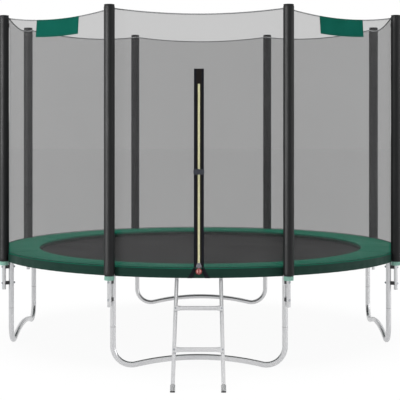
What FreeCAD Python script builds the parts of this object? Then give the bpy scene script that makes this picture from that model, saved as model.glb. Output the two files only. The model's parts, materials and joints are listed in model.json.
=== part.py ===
import FreeCAD, Part
import math
import os
import re

import Sketcher

# A round garden trampoline with a net enclosure and a hook-on ladder.
#
# Millimetres and degrees, +Z up, the ladder and the door on the -Y side. The model stands on z = 0 and
# its origin is the middle of its footprint, ladder included. Each sub-part is drawn about the ring's own
# centre and carried there by its Placement. Round the ring, direction 0 is the middle of a net panel and
# the poles stand half a panel further on.

# --- Driving dimensions -------------------------------------------------------------------------

SIZES = {
    # Ring of frame tube
    "side_count": 8,
    "rail_radius": 1506,
    "rail_height": 640,
    "tube_od": 38,
    "tube_wall": 1.5,
    "spigot_length": 50,
    "shoulder_length": 8,
    "swage_clearance": 0.3,
    "tube_end_gap": 0.3,
    "rail_joint_arc": 6,
    # Legs
    "socket_bottom": 545,
    "base_top": 273,
    "foot_half_spacing": 451.7,
    "foot_bend_radius": 124.6,
    "crest_rise": 52.7,
    # Enclosure poles
    "pole_radius": 1560,
    "pole_od": 28,
    "pole_wall": 1.2,
    "pole_bottom": 412,
    "pole_joint_height": 1420,
    "pole_top": 2424,
    "pole_spigot_length": 60,
    # Pole fixings
    "bolt_high": 577,
    "bolt_low": 459,
    "bolt_diameter": 8,
    "bolt_hole_clearance": 0.3,
    "bolt_head_diameter": 17,
    "bolt_head_height": 4.5,
    "bolt_end": 9,
    "nut_width": 13,
    "nut_height": 6.5,
    "thread_clearance": 0.05,
    "washer_diameter": 18,
    "washer_thickness": 1.6,
    "spacer_width": 26,
    "spacer_height": 24,
    "seat_gap": 0.3,
    # Sleeves, cuffs and caps on the poles
    "sleeve_od": 66,
    "sleeve_bottom": 619.5,
    "sleeve_fillet": 3,
    "cuff_od": 60,
    "cuff_thickness": 3,
    "cuff_height": 28,
    "cap_flange_diameter": 64,
    "cap_stem_length": 30,
    "cap_rim": 3,
    "cap_dome": 4.7,
    # Mat, rings and springs
    "mat_radius": 1245,
    "mat_thickness": 3,
    "band_width": 55,
    "band_thickness": 5,
    "springs_per_side": 8,
    "ring_wire": 4,
    "ring_reach": 11,
    "spring_wire": 3.2,
    "eye_radius": 6,
    "coil_od": 22,
    "coil_wall": 2.4,
    "coil_start_gap": 9,
    "coil_end_gap": 33,
    "hook_hole": 4.8,
    "hook_tip_gap": 1.1,
    "hook_tip_drop": 4.5,
    # Pad over the springs
    "pad_inner_radius": 1250,
    "pad_outer_radius": 1536,
    "pad_thickness": 22,
    "skirt_thickness": 3,
    "skirt_bottom": 617,
    "notch_clearance": 1.5,
    "tie_thickness": 1.2,
    "tie_width": 15,
    # Net
    "net_radius": 1521,
    "net_thickness": 2,
    "net_top": 2402,
    "net_sag": 40,
    "net_strips": 8,
    "net_cord": 5,
    "hem_cord": 8,
    "top_tie_width": 24,
    "top_tie_height": 30,
    "patch_width": 480,
    "patch_height": 125,
    "patch_thickness": 2,
    "patch_gap": 0.8,
    # Door in the front net panel
    "door_width": 60,
    "door_top": 2000,
    "door_thickness": 2,
    "teeth_width": 14,
    "teeth_thickness": 2.5,
    "teeth_top": 1898,
    "slider_height": 686,
    "slider_length": 30,
    "slider_top_width": 22,
    "slider_shoulder_width": 36,
    "slider_front": 2.8,
    "bridge_width": 5,
    "bridge_length": 10,
    "bridge_depth": 6.6,
    "pin_diameter": 3,
    "pin_clearance": 0.08,
    "pin_reach": 12,
    "pull_length": 28,
    "pull_width": 12,
    "pull_thickness": 2,
    "pull_lean": 20,
    "toggle_diameter": 42,
    "toggle_thickness": 7,
    "toggle_slot": 8,
    "tape_inner": 22,
    "tape_outer": 38,
    "tape_foot_inner": 46,
    "tape_foot_outer": 72,
    # Buckle across the door
    "buckle_height": 1314,
    "buckle_length": 72,
    "buckle_width": 36,
    "buckle_thickness": 10,
    "buckle_wall": 2,
    "buckle_split": 6,
    "buckle_tongue": 28,
    "buckle_clearance": 0.4,
    # Ladder
    "ladder_lean": 46.5,
    "ladder_splay": 0.65,
    "hook_half_spacing": 145.4,
    "hook_inner_radius": 21,
    "hook_thickness": 4,
    "hook_width": 24,
    "hook_arc": 245,
    "stile_od": 25,
    "stile_wall": 1.5,
    "stile_offset": 18,
    "stile_top_drop": 36.3,
    "stile_foot_height": 14,
    "plug_thickness": 3,
    "rung_upper_drop": 280,
    "rung_lower_drop": 604,
    "rung_diameter": 28,
    "rung_wall": 1.5,
    "rung_flat_width": 44,
    "rung_flat_thickness": 6,
    "rung_taper": 30,
    "rung_lap": 9,
    "rung_bolt_diameter": 6,
    "rung_bolt_head": 12,
    "rung_bolt_head_height": 3.5,
    "foot_cap_wall": 3,
    "foot_cap_length": 34,
    "foot_cap_sole": 12,
    "hook_pocket_side": 4,
    "hook_pocket_top": 2,
}

doc = FreeCAD.newDocument("Trampoline")
sheet = doc.addObject("Spreadsheet::Sheet", "Sizes")
for row, (alias, number) in enumerate(SIZES.items(), start=1):
    sheet.set(f"A{row}", alias)
    sheet.set(f"B{row}", str(number))
    sheet.setAlias(f"B{row}", alias)
doc.recompute()

# Lengths that follow from the driving ones, as expressions in the sheet's aliases.
BORE = "(tube_od / 2 - tube_wall)"
SPIGOT = f"({BORE} - swage_clearance)"
POLE_BORE = "(pole_od / 2 - pole_wall)"
SLEEVE_BORE = "(pole_od / 2 + seat_gap)"
PAD_BOTTOM = "(rail_height + tube_od / 2 + seat_gap)"
PAD_TOP = f"({PAD_BOTTOM} + pad_thickness)"
BAND_RADIUS = "(mat_radius + band_width)"
RING_WIRE_RADIUS = f"({BAND_RADIUS} + seat_gap + ring_reach)"
EYE_CENTRE = f"({RING_WIRE_RADIUS} - ring_wire / 2 - seat_gap + eye_radius - spring_wire / 2)"
RAIL_INNER_FACE = "(rail_radius - tube_od / 2)"
HALF_SIDE = "(180 / side_count)"
SPRING_STEP = "(360 / (side_count * springs_per_side))"
NET_BOTTOM = f"({PAD_TOP} + 2 * seat_gap + net_cord)"
NET_MID_TOP = "(net_top - net_sag)"
NET_OUTER = "(net_radius + net_thickness)"
DOOR_LEAN = f"atan({NET_OUTER} * (1 - cos({HALF_SIDE})) / ({NET_MID_TOP} - {NET_BOTTOM}))"
HINGE_REACH = "sqrt(rail_radius * rail_radius - hook_half_spacing * hook_half_spacing)"


# --- Expressions ----------------------------------------------------------------------------------

def aliased(text):
    """Point each alias in an expression at the sheet."""
    return re.sub(r"[a-z]\w*", lambda w: f"Sizes.{w.group()}" if w.group() in SIZES else w.group(), text)


def value(text):
    """The number that an expression of aliases comes to."""
    result = sheet.evalExpression(aliased(text))
    return float(getattr(result, "Value", result))


def bind(thing, name, text):
    """Tie a property or constraint to an expression of aliases."""
    thing.setExpression(name, aliased(text))


# --- Placements -----------------------------------------------------------------------------------

def move(x=0.0, y=0.0, z=0.0):
    """A Placement that shifts."""
    return FreeCAD.Placement(FreeCAD.Vector(x, y, z), FreeCAD.Rotation())


def turn(axis, angle):
    """A Placement that turns about an axis through the origin."""
    return FreeCAD.Placement(FreeCAD.Vector(), FreeCAD.Rotation(FreeCAD.Vector(*axis), angle))


UP, ACROSS, INWARD = (0, 0, 1), (1, 0, 0), (0, 1, 0)
FRONT = -90.0


def ladder_reach():
    """How far the ladder's foot caps stand out from the ring's centre."""
    lean = math.radians(value("ladder_lean"))
    stile_y = value("stile_offset")
    rise = value("rail_height")
    drop = (rise - stile_y * math.sin(lean) - value("stile_foot_height")) / math.cos(lean)
    sole = (drop + value("foot_cap_sole")) * math.sin(lean)
    return value(HINGE_REACH) + sole + (value("stile_od / 2 + foot_cap_wall") - stile_y) * math.cos(lean)


RING = move(y=(ladder_reach() - value("pad_outer_radius")) / 2)


def on_ring(direction):
    """The ring's own frame, turned to a direction round it."""
    return RING * turn(UP, direction)


def side_directions(offset=0.0):
    """One direction for each side of the ring."""
    step = 360 / SIZES["side_count"]
    return [FRONT + offset + step * index for index in range(SIZES["side_count"])]


# --- Sketches and features ------------------------------------------------------------------------

def new_body(label, placement):
    """A body with its Label and Placement."""
    body = doc.addObject("PartDesign::Body", label)
    body.Label = label
    body.Placement = placement
    return body


def origin_feature(body, role):
    """One of the body's own origin planes or axes."""
    return next(item for item in body.Origin.OriginFeatures if item.Role == role)


def new_sketch(body, plane, shift=("0", "0", "0"), swing=None):
    """A sketch on an origin plane, shifted in its own axes and swung about its vertical."""
    sketch = body.newObject("Sketcher::SketchObject", f"{body.Name}_sketch")
    sketch.AttachmentSupport = [(origin_feature(body, plane), "")]
    sketch.MapMode = "FlatFace"
    if swing is not None:
        sketch.AttachmentOffset = turn(INWARD, 1.0)
        bind(sketch, "AttachmentOffset.Rotation.Angle", swing)
    for axis, text in zip("xyz", shift):
        bind(sketch, f"AttachmentOffset.Base.{axis}", text)
    return sketch


def pin_point(sketch, geometry, point, across, upward):
    """Hold one point of a sketch by its distances from the sketch's origin."""
    for kind, text in (("DistanceX", across), ("DistanceY", upward)):
        constraint = Sketcher.Constraint(kind, -1, 1, geometry, point, value(text))
        bind(sketch, f"Constraints[{sketch.addConstraint(constraint)}]", text)


def draw_circle(sketch, across, upward, radius):
    """A circle held by its centre and radius."""
    centre = FreeCAD.Vector(value(across), value(upward), 0)
    circle = sketch.addGeometry(Part.Circle(centre, FreeCAD.Vector(*UP), value(radius)))
    pin_point(sketch, circle, 3, across, upward)
    index = sketch.addConstraint(Sketcher.Constraint("Radius", circle, value(radius)))
    bind(sketch, f"Constraints[{index}]", radius)


def draw_outline(sketch, corners):
    """A closed outline of straight lines through corners given as expressions."""
    places = [FreeCAD.Vector(value(across), value(upward), 0) for across, upward in corners]
    lines = [
        sketch.addGeometry(Part.LineSegment(start, end))
        for start, end in zip(places, places[1:] + places[:1])
    ]
    for line, following in zip(lines, lines[1:] + lines[:1]):
        sketch.addConstraint(Sketcher.Constraint("Coincident", line, 2, following, 1))
    for line, (across, upward) in zip(lines, corners):
        pin_point(sketch, line, 1, across, upward)


def box_outline(left, low, right, high):
    """The four corners of an upright rectangle."""
    return [(left, low), (right, low), (right, high), (left, high)]


def add_feature(body, kind, sketch):
    """A feature of the body on one sketch."""
    feature = body.newObject(f"PartDesign::{kind}", f"{body.Name}_{kind.lower()}")
    feature.Profile = sketch
    sketch.Visibility = False
    return feature


def pad(body, sketch, length, symmetric=False, backward=False):
    """Add the sketch's area, carried along its normal."""
    feature = add_feature(body, "Pad", sketch)
    bind(feature, "Length", length)
    feature.SideType = "Symmetric" if symmetric else "One side"
    feature.Reversed = backward
    return feature


def cut_through(body, sketch):
    """Cut the sketch's area right through the body, both ways."""
    doc.recompute()
    before = body.Shape.Volume
    feature = add_feature(body, "Pocket", sketch)
    feature.Type = "ThroughAll"
    feature.SideType = "Symmetric"
    doc.recompute()
    if body.Shape.Volume >= before:
        raise RuntimeError(f"{body.Label}: a through cut removed nothing")
    return feature


def cut_blind(body, sketch, depth, backward=False):
    """Cut the sketch's area to a depth."""
    doc.recompute()
    before = body.Shape.Volume
    feature = add_feature(body, "Pocket", sketch)
    bind(feature, "Length", depth)
    feature.Reversed = backward
    doc.recompute()
    if body.Shape.Volume >= before:
        raise RuntimeError(f"{body.Label}: a blind cut removed nothing")
    return feature


def revolve(body, sketch, axis="V_Axis", angle="360", both_ways=None, backward=False):
    """Turn the sketch's area about one of its axes."""
    feature = add_feature(body, "Revolution", sketch)
    feature.ReferenceAxis = (sketch, [axis])
    feature.Reversed = backward
    if both_ways is not None:
        feature.Type = "TwoAngles"
        bind(feature, "Angle2", both_ways)
    bind(feature, "Angle", angle)
    return feature


def groove(body, sketch, axis, angle, both_ways):
    """Turn the sketch's area about one of its axes and take it away."""
    doc.recompute()
    before = body.Shape.Volume
    feature = add_feature(body, "Groove", sketch)
    feature.ReferenceAxis = (sketch, [axis])
    feature.Type = "TwoAngles"
    bind(feature, "Angle", angle)
    bind(feature, "Angle2", both_ways)
    doc.recompute()
    if body.Shape.Volume >= before:
        raise RuntimeError(f"{body.Label}: a groove removed nothing")
    return feature


def repeat_body(body, count):
    """Repeat the whole body round the ring's axis."""
    doc.recompute()
    pattern = body.newObject("PartDesign::PolarPattern", f"{body.Name}_pattern")
    pattern.TransformMode = "Whole shape"
    pattern.Axis = (origin_feature(body, "Z_Axis"), [""])
    pattern.Angle = 360
    bind(pattern, "Occurrences", count)
    body.Tip = pattern
    return pattern


def tube_ring(sketch, across, upward, outer, inner):
    """The section of a tube: two circles on one centre."""
    draw_circle(sketch, across, upward, outer)
    draw_circle(sketch, across, upward, inner)


def stepped_tube(low, high, outer, bore, spigot, reach):
    """Half section of an upright tube whose top end is swaged down to a spigot."""
    return [
        (bore, low), (outer, low), (outer, high), (spigot, high),
        (spigot, f"{high} + {reach}"), (f"{spigot} - tube_wall", f"{high} + {reach}"),
        (f"{spigot} - tube_wall", f"{high} - shoulder_length"), (bore, f"{high} - shoulder_length"),
    ]


# --- Ring and legs --------------------------------------------------------------------------------

def build_rail(label, direction):
    """A curved rail with its leg socket, its swaged end and the holes that its springs hook into."""
    body = new_body(label, on_ring(direction))
    socket = new_sketch(body, "XY_Plane", ("0", "0", "socket_bottom"))
    draw_circle(socket, "rail_radius", "0", "tube_od / 2")
    pad(body, socket, "rail_height - socket_bottom")

    rod = new_sketch(body, "XZ_Plane")
    draw_circle(rod, "rail_radius", "rail_height", "tube_od / 2")
    gap_arc = "(180 / pi * tube_end_gap / rail_radius)"
    behind = f"2 * {HALF_SIDE} - rail_joint_arc - {gap_arc}"
    revolve(body, rod, angle="rail_joint_arc", both_ways=behind)
    bore = new_sketch(body, "XZ_Plane")
    draw_circle(bore, "rail_radius", "rail_height", BORE)
    groove(body, bore, "V_Axis", "rail_joint_arc", behind)

    shoulder_arc = "(180 / pi * shoulder_length / rail_radius)"
    shoulder = new_sketch(body, "XZ_Plane", swing=f"rail_joint_arc - {shoulder_arc}")
    tube_ring(shoulder, "rail_radius", "rail_height", "tube_od / 2 - tube_wall / 2", f"{SPIGOT} - tube_wall")
    revolve(body, shoulder, angle=shoulder_arc)
    spigot = new_sketch(body, "XZ_Plane", swing=f"rail_joint_arc - {shoulder_arc}")
    tube_ring(spigot, "rail_radius", "rail_height", SPIGOT, f"{SPIGOT} - tube_wall")
    revolve(body, spigot, angle=f"{shoulder_arc} + 180 / pi * spigot_length / rail_radius")

    mouth = new_sketch(body, "XY_Plane", ("0", "0", "socket_bottom"))
    draw_circle(mouth, "rail_radius", "0", BORE)
    cut_blind(body, mouth, "rail_height - tube_od / 2 - socket_bottom", backward=True)
    bolt_hole = new_sketch(body, "YZ_Plane")
    draw_circle(bolt_hole, "0", "bolt_high", "bolt_diameter / 2 + bolt_hole_clearance")
    cut_through(body, bolt_hole)

    # One round hole in the rail's inner wall for each spring of this side.
    first = f"{SPRING_STEP} / 2 - 2 * {HALF_SIDE} + {SPRING_STEP}"
    for index in range(SIZES["springs_per_side"]):
        hole = new_sketch(body, "YZ_Plane", swing=f"{first} + {index} * {SPRING_STEP}")
        bind(hole, "AttachmentOffset.Base.x", f"{RAIL_INNER_FACE} * sin({first} + {index} * {SPRING_STEP})")
        bind(hole, "AttachmentOffset.Base.z", f"{RAIL_INNER_FACE} * cos({first} + {index} * {SPRING_STEP})")
        draw_circle(hole, "0", "rail_height", "hook_hole / 2")
        drill = add_feature(body, "Pocket", hole)
        drill.SideType = "Symmetric"
        bind(drill, "Length", "6 * tube_wall")
    return body


def build_upright(label, direction):
    """A leg upright: a straight tube that takes the leg base below and enters the rail's socket above."""
    body = new_body(label, on_ring(direction) * move(x=value("rail_radius")))
    section = new_sketch(body, "XZ_Plane")
    draw_outline(section, stepped_tube(
        "(base_top + tube_end_gap)", "(socket_bottom - tube_end_gap)", "tube_od / 2", BORE, SPIGOT, "spigot_length"))
    revolve(body, section)
    for height in ("bolt_low", "bolt_high"):
        hole = new_sketch(body, "YZ_Plane")
        draw_circle(hole, "0", height, "bolt_diameter / 2 + bolt_hole_clearance")
        cut_through(body, hole)
    return body


def draw_leg_spine(sketch):
    """The leg base's centre line: two arms, two tight foot bends and a wide arch between them."""
    half = f"(rail_radius * sin({HALF_SIDE}))"
    low = "(tube_od / 2)"
    bend_y = f"({low} + foot_bend_radius)"
    crest = f"({low} + crest_rise)"
    fall = value(f"{bend_y} - {crest}")
    reach, bend = value("foot_half_spacing"), value("foot_bend_radius")
    arch = (reach ** 2 + fall ** 2 - bend ** 2) / (2 * (bend - fall))
    tip = math.asin(reach / (bend + arch))
    normal = FreeCAD.Vector(*UP)
    top, side, height = value("base_top"), value(half), value(bend_y)
    sketch.addGeometry(Part.LineSegment(FreeCAD.Vector(-side, top, 0), FreeCAD.Vector(-side, height, 0)))
    foot = Part.Circle(FreeCAD.Vector(-reach, height, 0), normal, bend)
    sketch.addGeometry(Part.ArcOfCircle(foot, math.pi, 1.5 * math.pi + tip))
    wide = Part.Circle(FreeCAD.Vector(0, value(crest) - arch, 0), normal, arch)
    sketch.addGeometry(Part.ArcOfCircle(wide, math.pi / 2 - tip, math.pi / 2 + tip))
    foot = Part.Circle(FreeCAD.Vector(reach, height, 0), normal, bend)
    sketch.addGeometry(Part.ArcOfCircle(foot, 1.5 * math.pi - tip, 2 * math.pi))
    sketch.addGeometry(Part.LineSegment(FreeCAD.Vector(side, height, 0), FreeCAD.Vector(side, top, 0)))
    for joint in ((0, 2, 1, 1), (1, 2, 2, 2), (2, 1, 3, 1), (3, 2, 4, 1)):
        sketch.addConstraint(Sketcher.Constraint("Tangent", *joint))
    pin_point(sketch, 0, 1, f"-{half}", "base_top")
    pin_point(sketch, 4, 2, half, "base_top")
    for arc, sign in ((1, "-"), (3, "")):
        pin_point(sketch, arc, 3, f"{sign}(foot_half_spacing)", bend_y)
        index = sketch.addConstraint(Sketcher.Constraint("Radius", arc, bend))
        bind(sketch, f"Constraints[{index}]", f"{half} - foot_half_spacing")
    summit = sketch.addGeometry(Part.Point(FreeCAD.Vector(0, value(crest), 0)), True)
    sketch.addConstraint(Sketcher.Constraint("PointOnObject", summit, 1, -2))
    sketch.addConstraint(Sketcher.Constraint("PointOnObject", summit, 1, 2))
    index = sketch.addConstraint(Sketcher.Constraint("DistanceY", -1, 1, summit, 1, value(crest)))
    bind(sketch, f"Constraints[{index}]", crest)


def build_leg_base(label, direction):
    """A W-shaped leg base, bent from one tube, with a swaged spigot at the top of each arm."""
    apothem = value(f"rail_radius * cos({HALF_SIDE})")
    half = f"(rail_radius * sin({HALF_SIDE}))"
    body = new_body(label, on_ring(direction) * move(x=apothem))
    spine = new_sketch(body, "YZ_Plane")
    draw_leg_spine(spine)
    section = new_sketch(body, "XY_Plane", ("0", "0", "base_top"))
    tube_ring(section, "0", f"-{half}", "tube_od / 2", BORE)
    doc.recompute()
    pipe = add_feature(body, "AdditivePipe", section)
    pipe.Spine = (spine, [])
    for side in ("-", ""):
        shoulder = new_sketch(body, "XY_Plane", ("0", "0", "base_top - shoulder_length"))
        tube_ring(shoulder, "0", f"{side}{half}", "tube_od / 2 - tube_wall / 2", f"{SPIGOT} - tube_wall")
        pad(body, shoulder, "shoulder_length")
        spigot = new_sketch(body, "XY_Plane", ("0", "0", "base_top - shoulder_length"))
        tube_ring(spigot, "0", f"{side}{half}", SPIGOT, f"{SPIGOT} - tube_wall")
        pad(body, spigot, "shoulder_length + spigot_length")
    return body


# --- Enclosure poles ------------------------------------------------------------------------------

def pole_frame():
    """The ring's frame turned to the first pole."""
    return on_ring(FRONT + value(HALF_SIDE))


def pad_tube(body, low, length, outer, inner):
    """A plain upright tube on the pole circle."""
    section = new_sketch(body, "XY_Plane", ("0", "0", low))
    tube_ring(section, "pole_radius", "0", outer, inner)
    return pad(body, section, length)


def build_lower_poles():
    """The lower pole tubes, each bolted to a leg upright and swaged at its top."""
    body = new_body("lower_poles", pole_frame())
    spigot = f"({POLE_BORE} - swage_clearance)"
    wall = f"({spigot} - pole_wall)"
    pad_tube(body, "pole_bottom", "pole_joint_height - pole_bottom", "pole_od / 2", POLE_BORE)
    pad_tube(body, "pole_joint_height - shoulder_length", "shoulder_length", "pole_od / 2 - pole_wall / 2", wall)
    pad_tube(body, "pole_joint_height - shoulder_length", "shoulder_length + pole_spigot_length", spigot, wall)
    for height in ("bolt_low", "bolt_high"):
        hole = new_sketch(body, "YZ_Plane")
        draw_circle(hole, "0", height, "bolt_diameter / 2 + bolt_hole_clearance")
        cut_through(body, hole)
    repeat_body(body, "side_count")
    return body


def build_upper_poles():
    """The upper pole tubes, which slide over the lower ones."""
    body = new_body("upper_poles", pole_frame())
    low = "(pole_joint_height + tube_end_gap)"
    pad_tube(body, low, f"pole_top - {low}", "pole_od / 2", POLE_BORE)
    repeat_body(body, "side_count")
    return body


def build_caps():
    """Domed plastic caps with a stem that plugs each pole."""
    body = new_body("pole_caps", pole_frame())
    section = new_sketch(body, "XZ_Plane", ("pole_radius", "pole_top + seat_gap", "0"))
    stem = f"{POLE_BORE} - swage_clearance"
    draw_outline(section, [
        ("0", "-cap_stem_length"), (stem, "-cap_stem_length"), (stem, "0"),
        ("cap_flange_diameter / 2", "0"), ("cap_flange_diameter / 2", "cap_rim"),
        ("cap_flange_diameter / 3", "cap_rim + 0.7 * cap_dome"), ("0", "cap_rim + cap_dome"),
    ])
    revolve(body, section)
    repeat_body(body, "side_count")
    return body


def build_sleeve(label, direction):
    """A foam sleeve in its fabric cover, slipped over a pole."""
    body = new_body(label, on_ring(direction) * move(x=value("pole_radius")))
    section = new_sketch(body, "XY_Plane", ("0", "0", "sleeve_bottom"))
    tube_ring(section, "0", "0", "sleeve_od / 2", SLEEVE_BORE)
    pad(body, section, "pole_top - sleeve_bottom")
    doc.recompute()
    rims = [
        f"Edge{index}" for index, edge in enumerate(body.Shape.Edges, start=1)
        if isinstance(edge.Curve, Part.Circle) and abs(edge.Curve.Radius - value("sleeve_od / 2")) < 1e-6
    ]
    tube = body.Tip
    rounding = body.newObject("PartDesign::Fillet", f"{label}_rounding")
    rounding.Base = (tube, rims)
    bind(rounding, "Radius", "sleeve_fillet")
    return body


def build_cuffs():
    """Fabric cuffs that close the sleeves' covers below the foam."""
    body = new_body("sleeve_cuffs", pole_frame())
    outer = "cuff_od / 2"
    pad_tube(body, "sleeve_bottom - seat_gap - cuff_height", "cuff_height", outer, f"{outer} - cuff_thickness")
    pad_tube(body, "sleeve_bottom - seat_gap - cuff_thickness", "cuff_thickness", outer, SLEEVE_BORE)
    repeat_body(body, "side_count")
    return body


def build_spacers():
    """Moulded spacers, hollowed to sit between an upright and its pole."""
    body = new_body("pole_spacers", pole_frame())
    for height in ("bolt_low", "bolt_high"):
        block = new_sketch(body, "XY_Plane", ("0", "0", height))
        draw_outline(block, box_outline("rail_radius", "-spacer_width / 2", "pole_radius", "spacer_width / 2"))
        pad(body, block, "spacer_height", symmetric=True)
    seats = new_sketch(body, "XY_Plane")
    draw_circle(seats, "rail_radius", "0", "tube_od / 2 + seat_gap")
    draw_circle(seats, "pole_radius", "0", "pole_od / 2 + seat_gap")
    cut_through(body, seats)
    for height in ("bolt_low", "bolt_high"):
        hole = new_sketch(body, "YZ_Plane")
        draw_circle(hole, "0", height, "bolt_diameter / 2 + bolt_hole_clearance")
        cut_through(body, hole)
    repeat_body(body, "side_count")
    return body


def build_bolts():
    """Carriage bolts through pole, spacer and upright, their domed heads on the pole side."""
    body = new_body("pole_bolt_set", pole_frame())
    inner = f"{RAIL_INNER_FACE} - bolt_end"
    head = "(pole_radius + pole_od / 2 + seat_gap)"
    for height in ("bolt_low", "bolt_high"):
        section = new_sketch(body, "XZ_Plane", ("0", height, "0"))
        draw_outline(section, [
            (inner, "0"), (inner, "bolt_diameter / 2"), (head, "bolt_diameter / 2"),
            (head, "bolt_head_diameter / 2"), (f"{head} + bolt_head_height / 2", "bolt_head_diameter / 2.4"),
            (f"{head} + bolt_head_height", "bolt_diameter / 2"), (f"{head} + bolt_head_height", "0"),
        ])
        revolve(body, section, "H_Axis")
    repeat_body(body, "side_count")
    return body


def build_nuts():
    """Hexagon nuts on round washers, against the inner side of each upright."""
    body = new_body("pole_nut_set", pole_frame())
    face = f"({RAIL_INNER_FACE} - seat_gap)"
    corner = "(nut_width / 2 / cos(30))"
    for height in ("bolt_low", "bolt_high"):
        washer = new_sketch(body, "YZ_Plane", ("0", "0", f"{face} - washer_thickness"))
        draw_circle(washer, "0", height, "washer_diameter / 2")
        pad(body, washer, "washer_thickness")
        nut = new_sketch(body, "YZ_Plane", ("0", "0", f"{face} - washer_thickness - nut_height"))
        draw_outline(nut, [
            (f"{corner} * cos({angle})", f"{height} + {corner} * sin({angle})") for angle in range(0, 360, 60)
        ])
        pad(body, nut, "nut_height")
    for height in ("bolt_low", "bolt_high"):
        hole = new_sketch(body, "YZ_Plane")
        draw_circle(hole, "0", height, "bolt_diameter / 2 + thread_clearance")
        cut_through(body, hole)
    repeat_body(body, "side_count")
    return body


def build_fasteners():
    """The pole bolts together with their washers and nuts."""
    group = doc.addObject("Part::Compound", "pole_fasteners")
    group.Links = [build_bolts(), build_nuts()]
    return group


# --- Mat, springs and pad -------------------------------------------------------------------------

def build_mat():
    """The woven jumping mat, a thin disc."""
    body = new_body("jumping_mat", RING)
    disc = new_sketch(body, "XY_Plane", ("0", "0", "rail_height"))
    draw_circle(disc, "0", "0", "mat_radius")
    pad(body, disc, "mat_thickness", symmetric=True)
    return body


def build_mat_band():
    """The doubled webbing sewn round the mat."""
    body = new_body("mat_edge_band", RING)
    section = new_sketch(body, "XY_Plane", ("0", "0", "rail_height"))
    tube_ring(section, "0", "0", BAND_RADIUS, "mat_radius + seat_gap")
    pad(body, section, "band_thickness", symmetric=True)
    return body


def spring_frame():
    """The ring's frame turned to the first spring."""
    return on_ring(FRONT + value(f"{HALF_SIDE} + {SPRING_STEP} / 2"))


def build_mat_rings():
    """Half-round wire rings that stand out of the mat's band, one for each spring."""
    body = new_body("mat_rings", spring_frame())
    section = new_sketch(body, "YZ_Plane", ("0", "rail_height", f"{BAND_RADIUS} + seat_gap"))
    draw_circle(section, "ring_reach", "0", "ring_wire / 2")
    revolve(body, section, "V_Axis", "180", backward=True)
    repeat_body(body, "side_count * springs_per_side")
    return body


def build_springs():
    """Mat springs: a coil, a cross wire at each end of it, an eye on the mat's ring and a hook in the rail."""
    body = new_body("springs", spring_frame())
    coil_start = f"({EYE_CENTRE} + eye_radius + coil_start_gap)"
    coil_end = f"({RAIL_INNER_FACE} - coil_end_gap)"
    tip = f"({RAIL_INNER_FACE} + tube_wall + spring_wire / 2 + hook_tip_gap)"
    wire = "spring_wire / 2"
    shank_radius = "0.45 * spring_wire"

    coil = new_sketch(body, "YZ_Plane", ("0", "0", coil_start))
    tube_ring(coil, "0", "rail_height", "coil_od / 2", "coil_od / 2 - coil_wall")
    pad(body, coil, f"{coil_end} - {coil_start}")
    for place in (coil_start, coil_end):
        cross = new_sketch(body, "XY_Plane", ("0", "0", "rail_height"))
        draw_circle(cross, place, "0", wire)
        pad(body, cross, "coil_od - coil_wall", symmetric=True)
    for start, end in ((f"({EYE_CENTRE} + eye_radius)", coil_start), (coil_end, tip)):
        shank = new_sketch(body, "YZ_Plane", ("0", "0", start))
        draw_circle(shank, "0", "rail_height", shank_radius)
        pad(body, shank, f"{end} - {start}")
    hook = new_sketch(body, "XY_Plane", ("0", "0", "rail_height - hook_tip_drop"))
    draw_circle(hook, tip, "0", wire)
    pad(body, hook, f"hook_tip_drop + {wire}")
    eye = new_sketch(body, "XY_Plane", (EYE_CENTRE, "0", "rail_height"), swing="0")
    draw_circle(eye, "eye_radius", "0", wire)
    revolve(body, eye, "V_Axis")
    repeat_body(body, "side_count * springs_per_side")
    return body


def notch_at_poles(body):
    """Cut a round notch at each pole's sleeve."""
    notches = new_sketch(body, "XY_Plane")
    for index in range(SIZES["side_count"]):
        angle = f"({HALF_SIDE} + {index} * 2 * {HALF_SIDE})"
        draw_circle(
            notches, f"pole_radius * cos({angle})", f"pole_radius * sin({angle})",
            "sleeve_od / 2 + notch_clearance")
    cut_through(body, notches)


def build_pad():
    """The spring pad: a foam ring, notched at the poles and dented over the ladder's hooks."""
    body = new_body("spring_pad", on_ring(FRONT))
    section = new_sketch(body, "XZ_Plane")
    draw_outline(section, box_outline("pad_inner_radius", PAD_BOTTOM, "pad_outer_radius", PAD_TOP))
    revolve(body, section)
    notch_at_poles(body)
    hook = "(hook_inner_radius + hook_thickness)"
    dents = new_sketch(body, "XY_Plane", ("0", "0", f"rail_height + {hook} + hook_pocket_top"))
    half_width = "(hook_width / 2 + hook_pocket_side)"
    for side in ("-", ""):
        middle = f"{side}hook_half_spacing"
        draw_outline(dents, box_outline(
            f"{HINGE_REACH} - {hook} - hook_pocket_side", f"{middle} - {half_width}",
            f"{HINGE_REACH} + {hook} + hook_pocket_side", f"{middle} + {half_width}"))
    cut_blind(body, dents, f"{hook} + hook_pocket_top")
    return body


def build_skirt():
    """The skirt that hangs from the pad's outer edge, in one length between each two poles."""
    body = new_body("pad_skirt", on_ring(FRONT))
    section = new_sketch(body, "XZ_Plane")
    draw_outline(section, box_outline(
        "pad_outer_radius - skirt_thickness", "skirt_bottom", "pad_outer_radius", f"{PAD_BOTTOM} - seat_gap"))
    revolve(body, section)
    notch_at_poles(body)
    return body


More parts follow.
